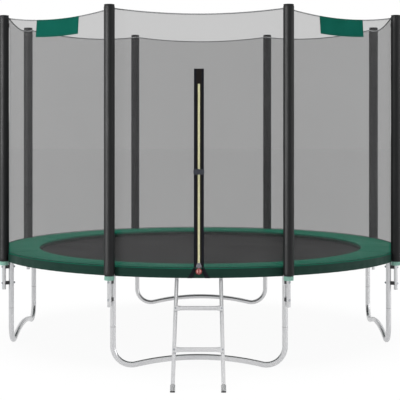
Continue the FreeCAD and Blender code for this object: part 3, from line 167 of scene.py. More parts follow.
class Surface:
    """Vertices, faces and cloth coordinates that a piece is made from."""

    def __init__(self) -> None:
        """Start with nothing."""
        self.points: list[Sequence[float]] = []
        self.faces: list[tuple[int, ...]] = []
        self.marks: list[tuple[tuple[float, float], ...]] = []

    def face(self, *corners: int) -> None:
        """Add a face without cloth coordinates."""
        self.faces.append(corners)
        self.marks.append(((0.0, 0.0),) * len(corners))

    def grid(
        self, rows: Sequence[Sequence[Vector]], closed: bool = False, looped: bool = False, ends: bool = False
    ) -> None:
        """Add a net of quads, with cloth coordinates in metres.

        Args:
            rows: Lines of points, all of one length.
            closed: Join the last point of each line to its first.
            looped: Join the last line to the first.
            ends: Close the first and last lines with one face each.
        """
        start, width, height = len(self.points), len(rows[0]), len(rows)
        for row in rows:
            self.points.extend(row)
        across, upward = [0.0], [0.0]
        middle = rows[height // 2]
        for index in range(width):
            across.append(across[-1] + (middle[(index + 1) % width] - middle[index]).length)
        for index in range(height):
            upward.append(upward[-1] + (rows[(index + 1) % height][0] - rows[index][0]).length)
        for j in range(height if looped else height - 1):
            for i in range(width if closed else width - 1):
                right, above = (i + 1) % width, (j + 1) % height
                corners = ((j, i), (j, right), (above, right), (above, i))
                self.faces.append(tuple(start + line * width + place for line, place in corners))
                u, v = (across[i], across[i + 1]), (upward[j], upward[j + 1])
                self.marks.append(((u[0], v[0]), (u[1], v[0]), (u[1], v[1]), (u[0], v[1])))
        if ends:
            last = start + (height - 1) * width
            self.face(*reversed(range(start, start + width)))
            self.face(*range(last, last + width))

    def tube(self, path: Sequence[Vector], radius: float, sides: int = 8, looped: bool = False) -> None:
        """Add a round tube along a path.

        Args:
            path: The points of its centre line.
            radius: The tube's radius.
            sides: How many sides its section has.
            looped: Join its end to its start.
        """
        normal = None
        rows = []
        for index, point in enumerate(path):
            if looped:
                tangent = (path[(index + 1) % len(path)] - path[index - 1]).normalized()
            else:
                tangent = (path[min(index + 1, len(path) - 1)] - path[max(index - 1, 0)]).normalized()
            if normal is None:
                normal = tangent.orthogonal().normalized()
                if looped:
                    normal = (UP - tangent * UP.dot(tangent)).normalized()
            normal = (normal - tangent * normal.dot(tangent)).normalized()
            side = tangent.cross(normal)
            rows.append([point + (normal * math.cos(a) + side * math.sin(a)) * radius for a in turns(sides)])
        self.grid(rows, closed=True, looped=looped, ends=not looped)

    def strap(
        self, path: Sequence[Vector], across: Vector, width: float | list[float], thickness: float
    ) -> None:
        """Add webbing or tape along a path, with softened edges.

        Args:
            path: The points of its middle line.
            across: The direction of its width.
            width: Its width, or one for each point.
            thickness: Its thickness.
        """
        rows = []
        side = across.normalized()
        widths = width if isinstance(width, list) else [width] * len(path)
        for index, point in enumerate(path):
            run = path[min(index + 1, len(path) - 1)] - path[max(index - 1, 0)]
            face = run.cross(side).normalized()
            half = widths[index] / 2
            edge, top = half - thickness * 0.35, thickness / 2
            under = ((-edge, -top), (0.0, -top), (edge, -top), (half, 0.0))
            over = ((edge, top), (0.0, top), (-edge, top), (-half, 0.0))
            rows.append([point + side * u + face * v for u, v in under + over])
        self.grid(rows, closed=True, ends=True)

    def stitch(self, middle: Vector, along: Vector, outward: Vector, length: float, width: float) -> None:
        """Add one raised stitch.

        Args:
            middle: The point that it lies on.
            along: The direction of the thread.
            outward: The direction away from the cloth.
            length: The stitch's length.
            width: The thread's width.
        """
        side = along.cross(outward).normalized() * width / 2
        reach = along.normalized() * length / 2
        start = len(self.points)
        lift = outward.normalized()
        sunk, crest = lift * width * 0.2, lift * width * 0.55
        self.points.extend([middle + corner - sunk for corner in (-reach, side, reach, -side)])
        self.points.extend([middle + end * 0.4 + crest for end in (-reach, reach)])
        for face in ((0, 3, 2, 1), (0, 1, 4), (1, 5, 4), (1, 2, 5), (2, 3, 5), (3, 4, 5), (3, 0, 4)):
            self.face(*(start + corner for corner in face))

    def block(self, middle: Vector, axes: Sequence[Vector], size: Sequence[float], bevel: float) -> None:
        """Add a block with chamfered edges.

        Args:
            middle: Its centre.
            axes: Its three directions.
            size: Its full size along each.
            bevel: How far its edges are cut back.
        """
        rows = []
        half = [s / 2 for s in size]
        top = half[2]
        for level, inset in ((-top, bevel), (bevel - top, 0.0), (top - bevel, 0.0), (top, bevel)):
            a, b = half[0] - inset, half[1] - inset
            near = [(-a, -b + bevel), (-a + bevel, -b), (a - bevel, -b), (a, -b + bevel)]
            corners = near + [(-u, -v) for u, v in near]
            rows.append([middle + axes[0] * u + axes[1] * v + axes[2] * level for u, v in corners])
        self.grid(rows, closed=True, ends=True)

    def lathe(self, middle: Vector, axis: Vector, profile: Sequence[tuple[float, float]], steps: int) -> None:
        """Add a turned shape, closed at both ends.

        Args:
            middle: The origin of the profile.
            axis: The direction that it is turned about.
            profile: Radius and height of each level.
            steps: How many steps go round.
        """
        across = axis.orthogonal().normalized()
        other = axis.cross(across).normalized()
        around = [across * math.cos(turn) + other * math.sin(turn) for turn in turns(steps)]
        rows = [[middle + axis * height + side * radius for side in around] for radius, height in profile]
        self.grid(rows, closed=True, ends=True)

    def mesh(self, name: str, crease: float = 40.0) -> bpy.types.Mesh:
        """Make the mesh.

        Args:
            name: The mesh's name.
            crease: Edges sharper than this many degrees stay sharp.

        Returns:
            The mesh, smooth and with cloth coordinates.
        """
        mesh = bpy.data.meshes.new(name)
        mesh.from_pydata([tuple(point) for point in self.points], [], self.faces)
        flat = [value for face in self.marks for mark in face for value in mark]
        mesh.uv_layers.new(name="cloth").data.foreach_set("uv", flat)
        work = bmesh.new()
        work.from_mesh(mesh)
        bmesh.ops.recalc_face_normals(work, faces=work.faces)
        work.to_mesh(mesh)
        work.free()
        mesh.polygons.foreach_set("use_smooth", [True] * len(mesh.polygons))
        mesh.set_sharp_from_angle(angle=math.radians(crease))
        return mesh


@dataclass
class Workshop:
    """Turns surfaces into pieces on their bodies.

    Attributes:
        finishes: Every finish's material by name.
        made: The names of the pieces made so far.
    """

    finishes: dict[str, bpy.types.Material]
    made: list[str] = field(default_factory=list)

    def piece(
        self,
        name: str,
        surface: Surface,
        finish: str,
        slot: str,
        node: str = "",
        body: str | None = "root",
        crease: float = 40.0,
    ) -> bpy.types.Object:
        """Make a piece from a surface.

        Args:
            name: The piece's name.
            surface: Its shape.
            finish: The name of its finish.
            slot: The record's material slot; not used.
            node: The construction node that it replaces, if any.
            body: The body that it rides on, or None to leave it on no body.
            crease: Edges sharper than this many degrees stay sharp.

        Returns:
            The new object.
        """
        made = bpy.data.objects.new(name, surface.mesh(name, crease))
        bpy.context.scene.collection.objects.link(made)
        made.data.materials.append(self.finishes[finish])
        if body is not None:
            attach(made, body)
        if node:
            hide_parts(node)
        self.made.append(name)
        LOG.info("%s: %d faces", name, len(surface.faces))
        return made

    def dress(self, nodes: Iterable[str], finish: str) -> None:
        """Give construction nodes a finish.

        Args:
            nodes: Their names.
            finish: The name of the finish.
        """
        for node in nodes:
            mesh = frame["nodes"][node].data
            mesh.materials.clear()
            mesh.materials.append(self.finishes[finish])
            mesh.set_sharp_from_angle(angle=math.radians(30))
            LOG.info("%s: %s", node, finish)


# Effects that the finishes share


class NodeSketch:
    """A short way to lay out shader nodes in one tree."""

    def __init__(self, tree: bpy.types.NodeTree) -> None:
        """Work on a tree."""
        self.tree = tree

    def add(
        self, kind: str, links: dict[str | int, object] | None = None, **settings: object
    ) -> bpy.types.Node:
        """Add a node.

        Args:
            kind: The node type without its ShaderNode prefix.
            links: For each input, a socket to link or a value to set.
            settings: The node's own properties.

        Returns:
            The node.
        """
        node = self.tree.nodes.new(f"ShaderNode{kind}")
        for key, value in settings.items():
            setattr(node, key, value)
        for key, value in (links or {}).items():
            if isinstance(value, bpy.types.NodeSocket):
                self.tree.links.new(value, node.inputs[key])
            else:
                node.inputs[key].default_value = value
        return node

    def math(self, operation: str, *values: object) -> bpy.types.NodeSocket:
        """Add a sum and give its result."""
        return self.add("Math", dict(enumerate(values)), operation=operation).outputs[0]

    def blend(self, share: bpy.types.NodeSocket, first: object, second: object) -> bpy.types.NodeSocket:
        """Add a mix of two colours and give its result."""
        return self.add("Mix", {0: share, 6: first, 7: second}, data_type="RGBA").outputs[2]

    def effect(self, group: bpy.types.NodeTree, **values: float) -> bpy.types.NodeOutputs:
        """Place a shared effect.

        Args:
            group: The effect.
            values: Its own values by name.

        Returns:
            What comes out of it.
        """
        placed = self.add("Group", node_tree=group)
        for key, value in values.items():
            placed.inputs[key].default_value = value
        return placed.outputs


class Effect(NodeSketch):
    """A shared effect: a node group with named values in and out."""

    def __init__(self, name: str, **inputs: float) -> None:
        """Open the group.

        Args:
            name: The group's name.
            inputs: Each input and its usual value.
        """
        super().__init__(bpy.data.node_groups.new(name, "ShaderNodeTree"))
        for key, value in inputs.items():
            self.socket(key, "INPUT").default_value = value
        self.values = self.tree.nodes.new("NodeGroupInput").outputs

    def socket(self, key: str, way: str) -> bpy.types.NodeTreeInterfaceSocket:
        """Add a named value that goes in or comes out."""
        return self.tree.interface.new_socket(key, in_out=way, socket_type="NodeSocketFloat")

    def close(self, results: dict[str, bpy.types.NodeSocket]) -> bpy.types.NodeTree:
        """Send the results out.

        Args:
            results: Each result by name.

        Returns:
            The finished group.
        """
        for key in results:
            self.socket(key, "OUTPUT")
        leave = self.tree.nodes.new("NodeGroupOutput")
        for key, result in results.items():
            self.tree.links.new(result, leave.inputs[key])
        return self.tree


def weave_group() -> bpy.types.NodeTree:
    """Plain weave that follows the cloth's own coordinates.

    Returns:
        A group that gives each thread's height and a mask of the weft.
    """
    sketch = Effect("Weave", Warp=600.0, Weft=600.0)
    parts = sketch.add("SeparateXYZ", {0: sketch.add("UVMap", uv_map="cloth").outputs[0]}).outputs
    waves = []
    for axis, threads in ((0, "Warp"), (1, "Weft")):
        phase = sketch.math("MULTIPLY", parts[axis], sketch.values[threads])
        waves.append(sketch.math("SINE", sketch.math("MULTIPLY", phase, math.pi)))
    over = sketch.math("GREATER_THAN", sketch.math("MULTIPLY", *waves), 0.0)
    warp, weft = (sketch.math("ABSOLUTE", wave) for wave in waves)
    height = sketch.add("Mix", {0: over, 2: warp, 3: weft}, data_type="FLOAT").outputs[0]
    return sketch.close({"Height": height, "Weft mask": over})


def blotch_group() -> bpy.types.NodeTree:
    """Soft uneven patches of tone.

    Returns:
        A group that gives a mask from 0 to 1.
    """
    sketch = Effect("Blotches", Scale=8.0, Detail=4.0, Stretch=1.0)
    place = sketch.add("TexCoord").outputs["Object"]
    scale = sketch.add("CombineXYZ", {0: 1.0, 1: 1.0, 2: sketch.values["Stretch"]}).outputs[0]
    stretched = sketch.add("VectorMath", {0: place, 1: scale}, operation="MULTIPLY").outputs[0]
    links = {"Vector": stretched, "Scale": sketch.values["Scale"], "Detail": sketch.values["Detail"]}
    cloud = sketch.add("TexNoise", links).outputs[0]
    return sketch.close({"Mask": sketch.add("MapRange", {0: cloud, 1: 0.32, 2: 0.68}).outputs[0]})


def spangle_group() -> bpy.types.NodeTree:
    """The flaky crystals of a hot zinc coat.

    Returns:
        A group that gives each flake's tone and a fine grain height.
    """
    sketch = Effect("Spangle", Scale=160.0)
    place = sketch.add("TexCoord").outputs["Object"]
    flakes = sketch.add("TexVoronoi", {"Vector": place, "Scale": sketch.values["Scale"]})
    tone = sketch.add("SeparateColor", {0: flakes.outputs["Color"]}).outputs[0]
    grain = sketch.add("TexNoise", {"Vector": place, "Scale": 900.0, "Detail": 2.0}).outputs[0]
    height = sketch.math("ADD", sketch.math("MULTIPLY", tone, 0.4), grain)
    return sketch.close({"Tone": tone, "Height": height})


def dust_group() -> bpy.types.NodeTree:
    """Fine dust that settles on what faces up.

    Returns:
        A group that gives a mask from 0 to its amount.
    """
    sketch = Effect("Dust", Amount=0.2)
    facing = sketch.add("SeparateXYZ", {0: sketch.add("NewGeometry").outputs["Normal"]}).outputs[2]
    level = sketch.add("MapRange", {0: facing, 1: 0.3, 2: 1.0}).outputs[0]
    place = sketch.add("TexCoord").outputs["Object"]
    cloud = sketch.add("TexNoise", {"Vector": place, "Scale": 14.0, "Detail": 6.0}).outputs[0]
    settled = sketch.math("MULTIPLY", level, cloud)
    return sketch.close({"Mask": sketch.math("MULTIPLY", settled, sketch.values["Amount"])})


# Finishes


class Texture(Enum):
    """What gives a finish its fine relief."""

    WOVEN = "woven"
    SPANGLED = "spangled"
    GRAINED = "grained"


@dataclass(frozen=True)
class Finish:
    """One finish: two tones, a relief and how it takes light.

    Attributes:
        name: The finish's name.
        tone: Its main colour, 0 to 255.
        second: The colour that its patches and threads turn to, 0 to 255.
        rough: The lowest and highest roughness.
        texture: What gives it its relief.
        scale: Threads per metre, or flakes or grains per metre.
        relief: The relief's depth in metres.
        patches: The scale of its uneven patches.
        stretch: How much shorter those patches are upward.
        dust: How much dust lies on its upper side.
        metallic: 1 for bare metal.
        coat: How much of a clear gloss lies over it.
        sheen: How much of a soft edge glow it has.
        alpha: How much of the light it stops.
        gloss: How much of a plain surface's mirror light it keeps.
    """

    name: str
    tone: tuple[int, int, int]
    second: tuple[int, int, int]
    rough: tuple[float, float]
    texture: Texture
    scale: float
    relief: float = 0.0002
    patches: float = 6.0
    stretch: float = 1.0
    dust: float = 0.0
    metallic: float = 0.0
    coat: float = 0.0
    sheen: float = 0.0
    alpha: float = 1.0
    gloss: float = 0.5

    def relief_sockets(
        self, sketch: NodeSketch, groups: dict[str, bpy.types.NodeTree]
    ) -> tuple[bpy.types.NodeSocket, bpy.types.NodeSocket]:
        """Place the group that gives the fine relief.

        Args:
            sketch: The material's nodes.
            groups: The shared effects by name.

        Returns:
            The height, and a mask that tells threads, flakes or grains apart.
        """
        if self.texture is Texture.WOVEN:
            woven = sketch.effect(groups["Weave"], Warp=self.scale, Weft=self.scale)
            return woven["Height"], woven["Weft mask"]
        if self.texture is Texture.SPANGLED:
            spangled = sketch.effect(groups["Spangle"], Scale=self.scale)
            return spangled["Height"], spangled["Tone"]
        grained = sketch.effect(groups["Blotches"], Scale=self.scale, Detail=3.0)
        return grained["Mask"], grained["Mask"]

    def material(self, groups: dict[str, bpy.types.NodeTree]) -> bpy.types.Material:
        """Make the material.

        Args:
            groups: The shared effects by name.

        Returns:
            The material, with one shader.
        """
        made = bpy.data.materials.new(self.name)
        made.use_nodes = True
        sketch = NodeSketch(made.node_tree)
        shader = made.node_tree.nodes["Principled BSDF"]
        height, marks = self.relief_sockets(sketch, groups)
        patch = sketch.effect(groups["Blotches"], Scale=self.patches, Stretch=self.stretch)[0]
        share = sketch.math("MULTIPLY_ADD", marks, 0.4, sketch.math("MULTIPLY", patch, 0.6))
        colour = sketch.blend(share, linear(*self.tone), linear(*self.second))
        if self.dust:
            colour = sketch.blend(sketch.effect(groups["Dust"], Amount=self.dust)[0], colour, DUST)
        rough = sketch.add("MapRange", {0: patch, 3: self.rough[0], 4: self.rough[1]}).outputs[0]
        bump = sketch.add("Bump", {"Strength": 0.6, "Distance": self.relief, "Height": height}).outputs[0]
        for key, socket in (("Base Color", colour), ("Roughness", rough), ("Normal", bump)):
            made.node_tree.links.new(socket, shader.inputs[key])
        constants = {
            "Metallic": self.metallic,
            "Coat Weight": self.coat,
            "Coat Roughness": 0.15,
            "Sheen Weight": self.sheen,
            "Sheen Roughness": 0.4,
            "Alpha": self.alpha,
            "Specular IOR Level": self.gloss,
        }
        for key, value in constants.items():
            shader.inputs[key].default_value = value
        return made


WOVEN, SPANGLED, GRAINED = Texture
DUST = linear(150, 146, 138)
FINISHES = (
    Finish("Galvanised tube", (213, 213, 214), (195, 196, 198), (0.26, 0.4), SPANGLED, 150.0, 4e-5,
        patches=3.0, stretch=0.3, metallic=0.8),
    Finish("Zinc wire", (176, 178, 181), (140, 143, 148), (0.22, 0.4), SPANGLED, 500.0, 3e-5, metallic=0.9),
    Finish("Bolt zinc", (190, 192, 197), (152, 156, 162), (0.2, 0.38), SPANGLED, 700.0, 2e-5, metallic=0.95),
    Finish("Nickel", (132, 132, 136), (106, 106, 112), (0.16, 0.3), GRAINED, 400.0, 2e-5, metallic=0.95),
    Finish("Sleeve cloth", (24, 25, 26), (18, 19, 20), (0.38, 0.5), WOVEN, 900.0, 2.5e-4,
        patches=9.0, stretch=0.25, gloss=0.18),
    Finish("Sleeve cap cloth", (26, 27, 28), (20, 21, 22), (0.45, 0.6), WOVEN, 900.0, 2.5e-4, gloss=0.15),
    Finish("Teal cuff cloth", (142, 186, 172), (126, 170, 155), (0.6, 0.75), WOVEN, 1100.0, 2.5e-4,
        sheen=0.1, gloss=0.25),
    # Black plastic also paints the dark rings of shade where the uprights end.
    Finish("Black plastic and painted shade", (22, 22, 24), (30, 30, 32), (0.36, 0.5), GRAINED, 900.0, 5e-5, patches=30.0),
    Finish("Mat weave", (22, 22, 23), (30, 30, 31), (0.6, 0.75), WOVEN, 420.0, 6e-4,
        patches=2.5, dust=0.04, gloss=0.05),
    Finish("Black webbing", (22, 22, 24), (32, 32, 35), (0.55, 0.7), WOVEN, 700.0, 4e-4, gloss=0.15),
    Finish("Dark thread", (52, 54, 56), (40, 42, 44), (0.5, 0.6), GRAINED, 900.0, 5e-5, gloss=0.2),
    Finish("Green pad cover", (5, 99, 77), (3, 92, 71), (0.42, 0.56), WOVEN, 1300.0, 6e-5,
        patches=3.5, gloss=0.006),
    # The skirt's darker green is painted shade: the pad cover's green as it looks on the upright face.
    Finish("Green skirt cloth in painted shade", (29, 57, 49), (24, 51, 43), (0.5, 0.62), WOVEN, 1300.0, 1e-4,
        patches=5.0, gloss=0.1),
    # The dark green of the piping and its stitches; on the band at the pad's inner edge it is painted shade.
    Finish("Green piping and painted shade", (14, 46, 36), (10, 40, 31), (0.4, 0.55), WOVEN, 1300.0, 1e-4, gloss=0.2),
    Finish("Net mesh", (86, 86, 87), (76, 76, 77), (0.6, 0.75), WOVEN, 330.0, 6e-4,
        patches=2.0, alpha=0.45, gloss=0.05),
    Finish("Net hem cloth", (150, 151, 152), (136, 137, 138), (0.6, 0.75), WOVEN, 800.0, 3e-4, gloss=0.2),
    Finish("Net cord", (34, 34, 36), (50, 50, 52), (0.55, 0.7), WOVEN, 700.0, 4e-4, gloss=0.2),
    Finish("Zip tape", (24, 21, 20), (34, 30, 29), (0.55, 0.7), WOVEN, 1100.0, 3e-4, gloss=0.1),
    Finish("Navy facing", (22, 23, 30), (18, 19, 25), (0.5, 0.66), WOVEN, 1100.0, 3e-4, gloss=0.1),
    Finish("Yellow teeth", (255, 253, 210), (250, 246, 192), (0.28, 0.4), GRAINED, 600.0, 3e-5, coat=0.3),
    Finish("Red toggle", (142, 30, 38), (120, 24, 32), (0.28, 0.4), GRAINED, 500.0, 4e-5, coat=0.35),
    Finish("Pale toggle face", (206, 150, 142), (190, 124, 118), (0.3, 0.42), GRAINED, 500.0, 4e-5,
        coat=0.25),
    Finish("Buckle plastic", (34, 38, 50), (28, 31, 40), (0.3, 0.44), GRAINED, 700.0, 6e-5, coat=0.1),
    Finish("Green patch cloth", (24, 101, 87), (20, 94, 80), (0.55, 0.68), WOVEN, 1000.0, 3e-4, gloss=0.004),
    Finish("Foot rubber", (24, 24, 25), (34, 34, 35), (0.6, 0.78), GRAINED, 500.0, 1e-4, dust=0.1, gloss=0.3),
)


def make_finishes() -> dict[str, bpy.types.Material]:
    """Build the shared effects, then every finish's material.

    Returns:
        The materials by name.
    """
    groups = {tree.name: tree for tree in (weave_group(), blotch_group(), spangle_group(), dust_group())}
    return {finish.name: finish.material(groups) for finish in FINISHES}


@dataclass
class Assembly:
    """A part of the trampoline, built in a workshop round its ring."""

    ring: Ring
    shop: Workshop


# Tube frame


@dataclass
class TubeFrame(Assembly):
    """The ring of rails, the legs and the bolted pole tubes, which keep their construction shapes.

    Attributes:
        rail_radius: The ring's radius at the rail's centre line.
        tube_radius: The rail's and socket's outer radius.
        weld_radius: The thickness of the bead where a socket meets its rail.
        weld_steps: Steps round a bead.
        shade_ring_thickness: The thickness of the dark ring of painted shade where an upright ends.
        lap_height: Where the uprights end over the leg bases.
    """

    rail_radius: float = 1.506
    tube_radius: float = 0.019
    weld_radius: float = 0.0016
    weld_steps: int = 48
    shade_ring_thickness: float = 0.0009
    lap_height: float = 0.273

    def dress(self) -> None:
        """Give the tubes, spacers and bolts their finishes."""
        numbers = range(1, self.ring.sides + 1)
        tubes = [f"rail_{n}" for n in numbers] + [f"leg_upright_{n}" for n in numbers]
        tubes += [f"leg_base_{side}" for side in ("front", "right", "back", "left")]
        self.shop.dress(tubes + ["lower_poles", "upper_poles"], "Galvanised tube")
        self.shop.dress(["pole_spacers"], "Black plastic and painted shade")
        self.shop.dress(["pole_fasteners"], "Bolt zinc")

    def weld_beads(self) -> None:
        """Lay a weld bead where each leg socket meets its rail."""
        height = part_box("rail_1")[1].z - self.tube_radius
        surface = Surface()
        for direction in self.ring.poles():
            outward, along = self.ring.out(direction), self.ring.along(direction)
            centre = self.ring.at(self.rail_radius, direction, height)
            path = []
            for step, turn in enumerate(turns(self.weld_steps)):
                across, reach = math.cos(turn) * self.tube_radius, math.sin(turn) * self.tube_radius
                drop = -math.sqrt(max(self.tube_radius**2 - across**2, 0.0))
                wobble = 0.0003 * math.sin(step * 2.1)
                path.append(centre + outward * across + along * reach + UP * (drop - 0.0006 + wobble))
            surface.tube(path, self.weld_radius, 6, looped=True)
        self.shop.piece("socket_welds", surface, "Zinc wire", "galvanised_tube")

    def painted_shade_rings(self) -> None:
        """Paint shade as a thin dark ring where each upright ends over its leg base."""
        surface = Surface()
        for direction in self.ring.poles():
            centre = self.ring.at(self.rail_radius, direction, self.lap_height)
            surface.tube(circle(centre, self.tube_radius - 0.0002, 40), self.shade_ring_thickness, 6, looped=True)
        # The dark ring is painted shade in the step where the upright ends.
        self.shop.piece("painted_shade_rings", surface, "Black plastic and painted shade", "galvanised_tube")

    def build(self) -> None:
        """Dress the tubes and add their beads and the dark rings of painted shade."""
        self.dress()
        self.weld_beads()
        self.painted_shade_rings()


# Enclosure


@dataclass
class Enclosure(Assembly):
    """The padded poles' covers and the net.

    Attributes:
        pole_radius: How far the poles stand from the ring's centre.
        sleeve_radius: A sleeve's outer radius.
        sleeve_bore: The radius of the hole down a sleeve.
        sleeve_rows: Cloth rows up a sleeve.
        sleeve_columns: Cloth columns round a sleeve.
        seam_turn: Where a sleeve's seam runs, in radians.
        pucker: How deep the cover's folds go.
        cuff_radius: A cuff's outer radius.
        cuff_columns: Cloth columns round a cuff.
        net_radius: The net's radius where it stands on the pad.
        net_top: How high the net's top corners are.
        net_sag: How far its top edge sags between them.
        net_columns: Cloth columns in each panel.
        net_rows: Cloth rows.
        net_height: The flat net's height; not used.
        slack: How far the net's soft folds go inward.
        hem_radius: The thickness of the net's top hem.
        patch_size: A patch's width and height.
        patch_gap: How far a patch stands off the net.
        patch_thickness: A patch's thickness.
        patch_pitch: From one of its stitches to the next.
        tie_radius: The radius where the corner ties begin.
        net_foot: How high the net's lower edge is.
    """

    pole_radius: float = 1.560
    sleeve_radius: float = 0.0364
    sleeve_bore: float = 0.0145
    sleeve_rows: int = 130
    sleeve_columns: int = 40
    seam_turn: float = 3.9
    pucker: float = 0.0009
    cuff_radius: float = 0.0318
    cuff_columns: int = 72
    net_radius: float = 1.522
    net_top: float = 2.402
    net_sag: float = 0.040
    net_columns: int = 24
    net_rows: int = 36
    net_height: float = 1.72
    slack: float = 0.007
    hem_radius: float = 0.0046
    patch_size: tuple[float, float] = (0.478, 0.123)
    patch_gap: float = 0.0052
    patch_thickness: float = 0.0012
    patch_pitch: float = 0.006
    tie_radius: float = 1.5235
    net_foot: float = field(init=False)

    def __post_init__(self) -> None:
        """Stand the net where its construction sheet stands."""
        self.net_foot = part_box("safety_net")[0].z

    def pole(self, direction: float, height: float) -> Vector:
        """A point on the centre line of the pole in a direction."""
        return self.ring.at(self.pole_radius, direction, height)

    def sleeve_reach(self, number: int, turn: float, height: float, rim: float) -> float:
        """The radius of a sleeve's cover, with its soft unevenness, gathers and seam.

        Args:
            number: The sleeve's number, which varies the folds.
            turn: Where round the sleeve, in radians.
            height: Above the ground.
            rim: How far from the nearer end.

        Returns:
            The radius in metres.
        """
        tuck = 0.0035 * (1 - smooth_step(rim / 0.006))
        soft = noise.noise(Vector((math.cos(turn) * 1.4, math.sin(turn) * 1.4, height * 5 + number * 7)))
        folds = math.sin(turn * 13 + number) * self.pucker * math.exp(-rim / 0.03)
        ridge = 0.0007 * math.exp(-(((turn - self.seam_turn) / 0.07) ** 2))
        return self.sleeve_radius + soft * self.pucker * 0.8 + folds - tuck + ridge

    def sleeves(self) -> None:
        """Build each foam sleeve in its gathered cover."""
        for number, direction in enumerate(self.ring.poles(), start=1):
            node = f"foam_sleeve_{number}"
            low, high = (corner.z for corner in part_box(node))
            rows = []
            for share in shares(self.sleeve_rows):
                height = low + (high - low) * share
                rim = min(share, 1 - share) * (high - low)
                centre = self.pole(direction, height)
                row = []
                for turn in turns(self.sleeve_columns):
                    row.append(centre + spoke(turn) * self.sleeve_reach(number, turn, height, rim))
                rows.append(row)
            for height in (high, low):
                rows.append(circle(self.pole(direction, height), self.sleeve_bore, self.sleeve_columns))
            surface = Surface()
            surface.grid(rows, closed=True, looped=True)
            made = self.shop.piece(f"sleeve_{number}", surface, "Sleeve cloth", "sleeve_cover", node)

    def sleeve_seams(self) -> None:
        """Sew the seam that runs down each sleeve's back, and the ring of stitches under its cap."""
        surface = Surface()
        low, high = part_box("foam_sleeve_1")
        seam = spoke(self.seam_turn)
        for direction in self.ring.poles():
            height = low.z + 0.01
            while height < high.z - 0.01:
                point = self.pole(direction, height) + seam * (self.sleeve_radius + 0.0009)
                surface.stitch(point, UP, seam, 0.005, 0.0011)
                height += 0.008
            for turn in turns(34):
                outward = spoke(turn)
                point = self.pole(direction, high.z - 0.012) + outward * (self.sleeve_radius + 0.0004)
                surface.stitch(point, UP.cross(outward), outward, 0.004, 0.001)
        self.shop.piece("sleeve_stitches", surface, "Dark thread", "sleeve_cover")

    def caps(self) -> None:
        """Build the domed cloth tops over the pole caps."""
        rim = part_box("pole_caps")[1].z - 0.0077
        profile = [(0.012, -0.029), (0.0125, 0.0), (0.0350, 0.0002), (0.0361, 0.0014), (0.0354, 0.0029)]
        for share in shares(8)[1:-1]:
            profile.append((0.0342 * math.cos(share * math.pi / 2) ** 0.7, 0.0031 + 0.0043 * share**0.8))
        profile.append((0.002, 0.0076))
        surface = Surface()
        for direction in self.ring.poles():
            surface.lathe(self.pole(direction, rim), UP, profile, 40)
        self.shop.piece("sleeve_tops", surface, "Sleeve cap cloth", "cap_cover", "pole_caps", crease=60)

    def cuffs(self) -> None:
        """Build the pale gathered cuffs under the sleeves."""
        low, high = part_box("sleeve_cuffs")
        surface = Surface()
        around = [(spoke(turn), 0.0008 * math.sin(turn * 18)) for turn in turns(self.cuff_columns)]
        bore, floor = self.sleeve_bore, low.z + 0.002
        inside = ((high.z, 0.0302), (floor, 0.0298), (floor, bore), (low.z, bore))
        for direction in self.ring.poles():
            rows = []
            for share, bulge in ((0.0, 0.0), (0.08, 0.0008), (0.5, 0.0012), (0.92, 0.0008), (1.0, 0.0)):
                centre = self.pole(direction, low.z + (high.z - low.z) * share)
                reach = self.cuff_radius + bulge
                rows.append([centre + side * (reach + fold * (1 - 0.5 * share)) for side, fold in around])
            for height, radius in inside:
                rows.append(circle(self.pole(direction, height), radius, self.cuff_columns))
            surface.grid(rows, closed=True, looped=True)
        self.shop.piece("gathered_cuffs", surface, "Teal cuff cloth", "cuff_fabric", "sleeve_cuffs")

    def net_point(self, direction: float, share: float, rise: float) -> Vector:
        """Find a point on a net panel.

        Args:
            direction: The direction of the panel's middle.
            share: From -1 at one pole to 1 at the next.
            rise: From 0 at the pad to 1 at the top.

        Returns:
            The point, before any soft fold.
        """
        half = math.radians(self.ring.half_side)
        angle = math.atan(share * math.tan(half))
        top_radius = self.net_radius * math.cos(half) / math.cos(angle)
        top_height = self.net_top - self.net_sag * (1 - share * share)
        radius = self.net_radius + (top_radius - self.net_radius) * rise
        height = self.net_foot + (top_height - self.net_foot) * rise
        return self.ring.at(radius, direction + math.degrees(angle), height)

    def fold(self, share: float, rise: float, panel: int) -> float:
        """How far a soft fold moves the net inward at a point of a panel.

        Args:
            share: From -1 at one pole to 1 at the next.
            rise: From 0 at the pad to 1 at the top.
            panel: The panel's number, which varies the folds.

        Returns:
            The move in metres.
        """
        calm = smooth_step(abs(share) / 0.12) if panel == 0 else 1.0
        billow = math.sin(math.pi * rise) * (0.55 + 0.45 * math.sin(share * 5.1 + panel * 1.7 + rise * 2.2))
        corner = math.hypot((1 - abs(share)) * 0.6, (1 - rise) * 1.1)
        turn = math.atan2(1 - rise, 1 - abs(share))
        strain = math.exp(-corner / 0.3) * (0.5 + 0.5 * math.sin(turn * 15 + panel))
        held = smooth_step((1 - abs(share)) / 0.16)
        return self.slack * calm * held * (0.7 * max(billow, 0.0) + 0.6 * strain)

    def columns(self) -> list[float]:
        """The shares across a panel where its cloth columns stand."""
        return [2 * column / self.net_columns - 1 for column in range(self.net_columns)]

    def net(self) -> None:
        """Hang the net as one continuous sheet."""
        rows = []
        for rise in shares(self.net_rows):
            row = []
            for panel, direction in enumerate(self.ring.panels()):
                for share in self.columns():
                    point = self.net_point(direction, share, rise)
                    row.append(point - self.ring.out(direction) * self.fold(share, rise, panel))
            rows.append(row)
        surface = Surface()
        surface.grid(rows, closed=True)
        made = self.shop.piece("net_wall", surface, "Net mesh", "net_mesh", "safety_net", crease=180)

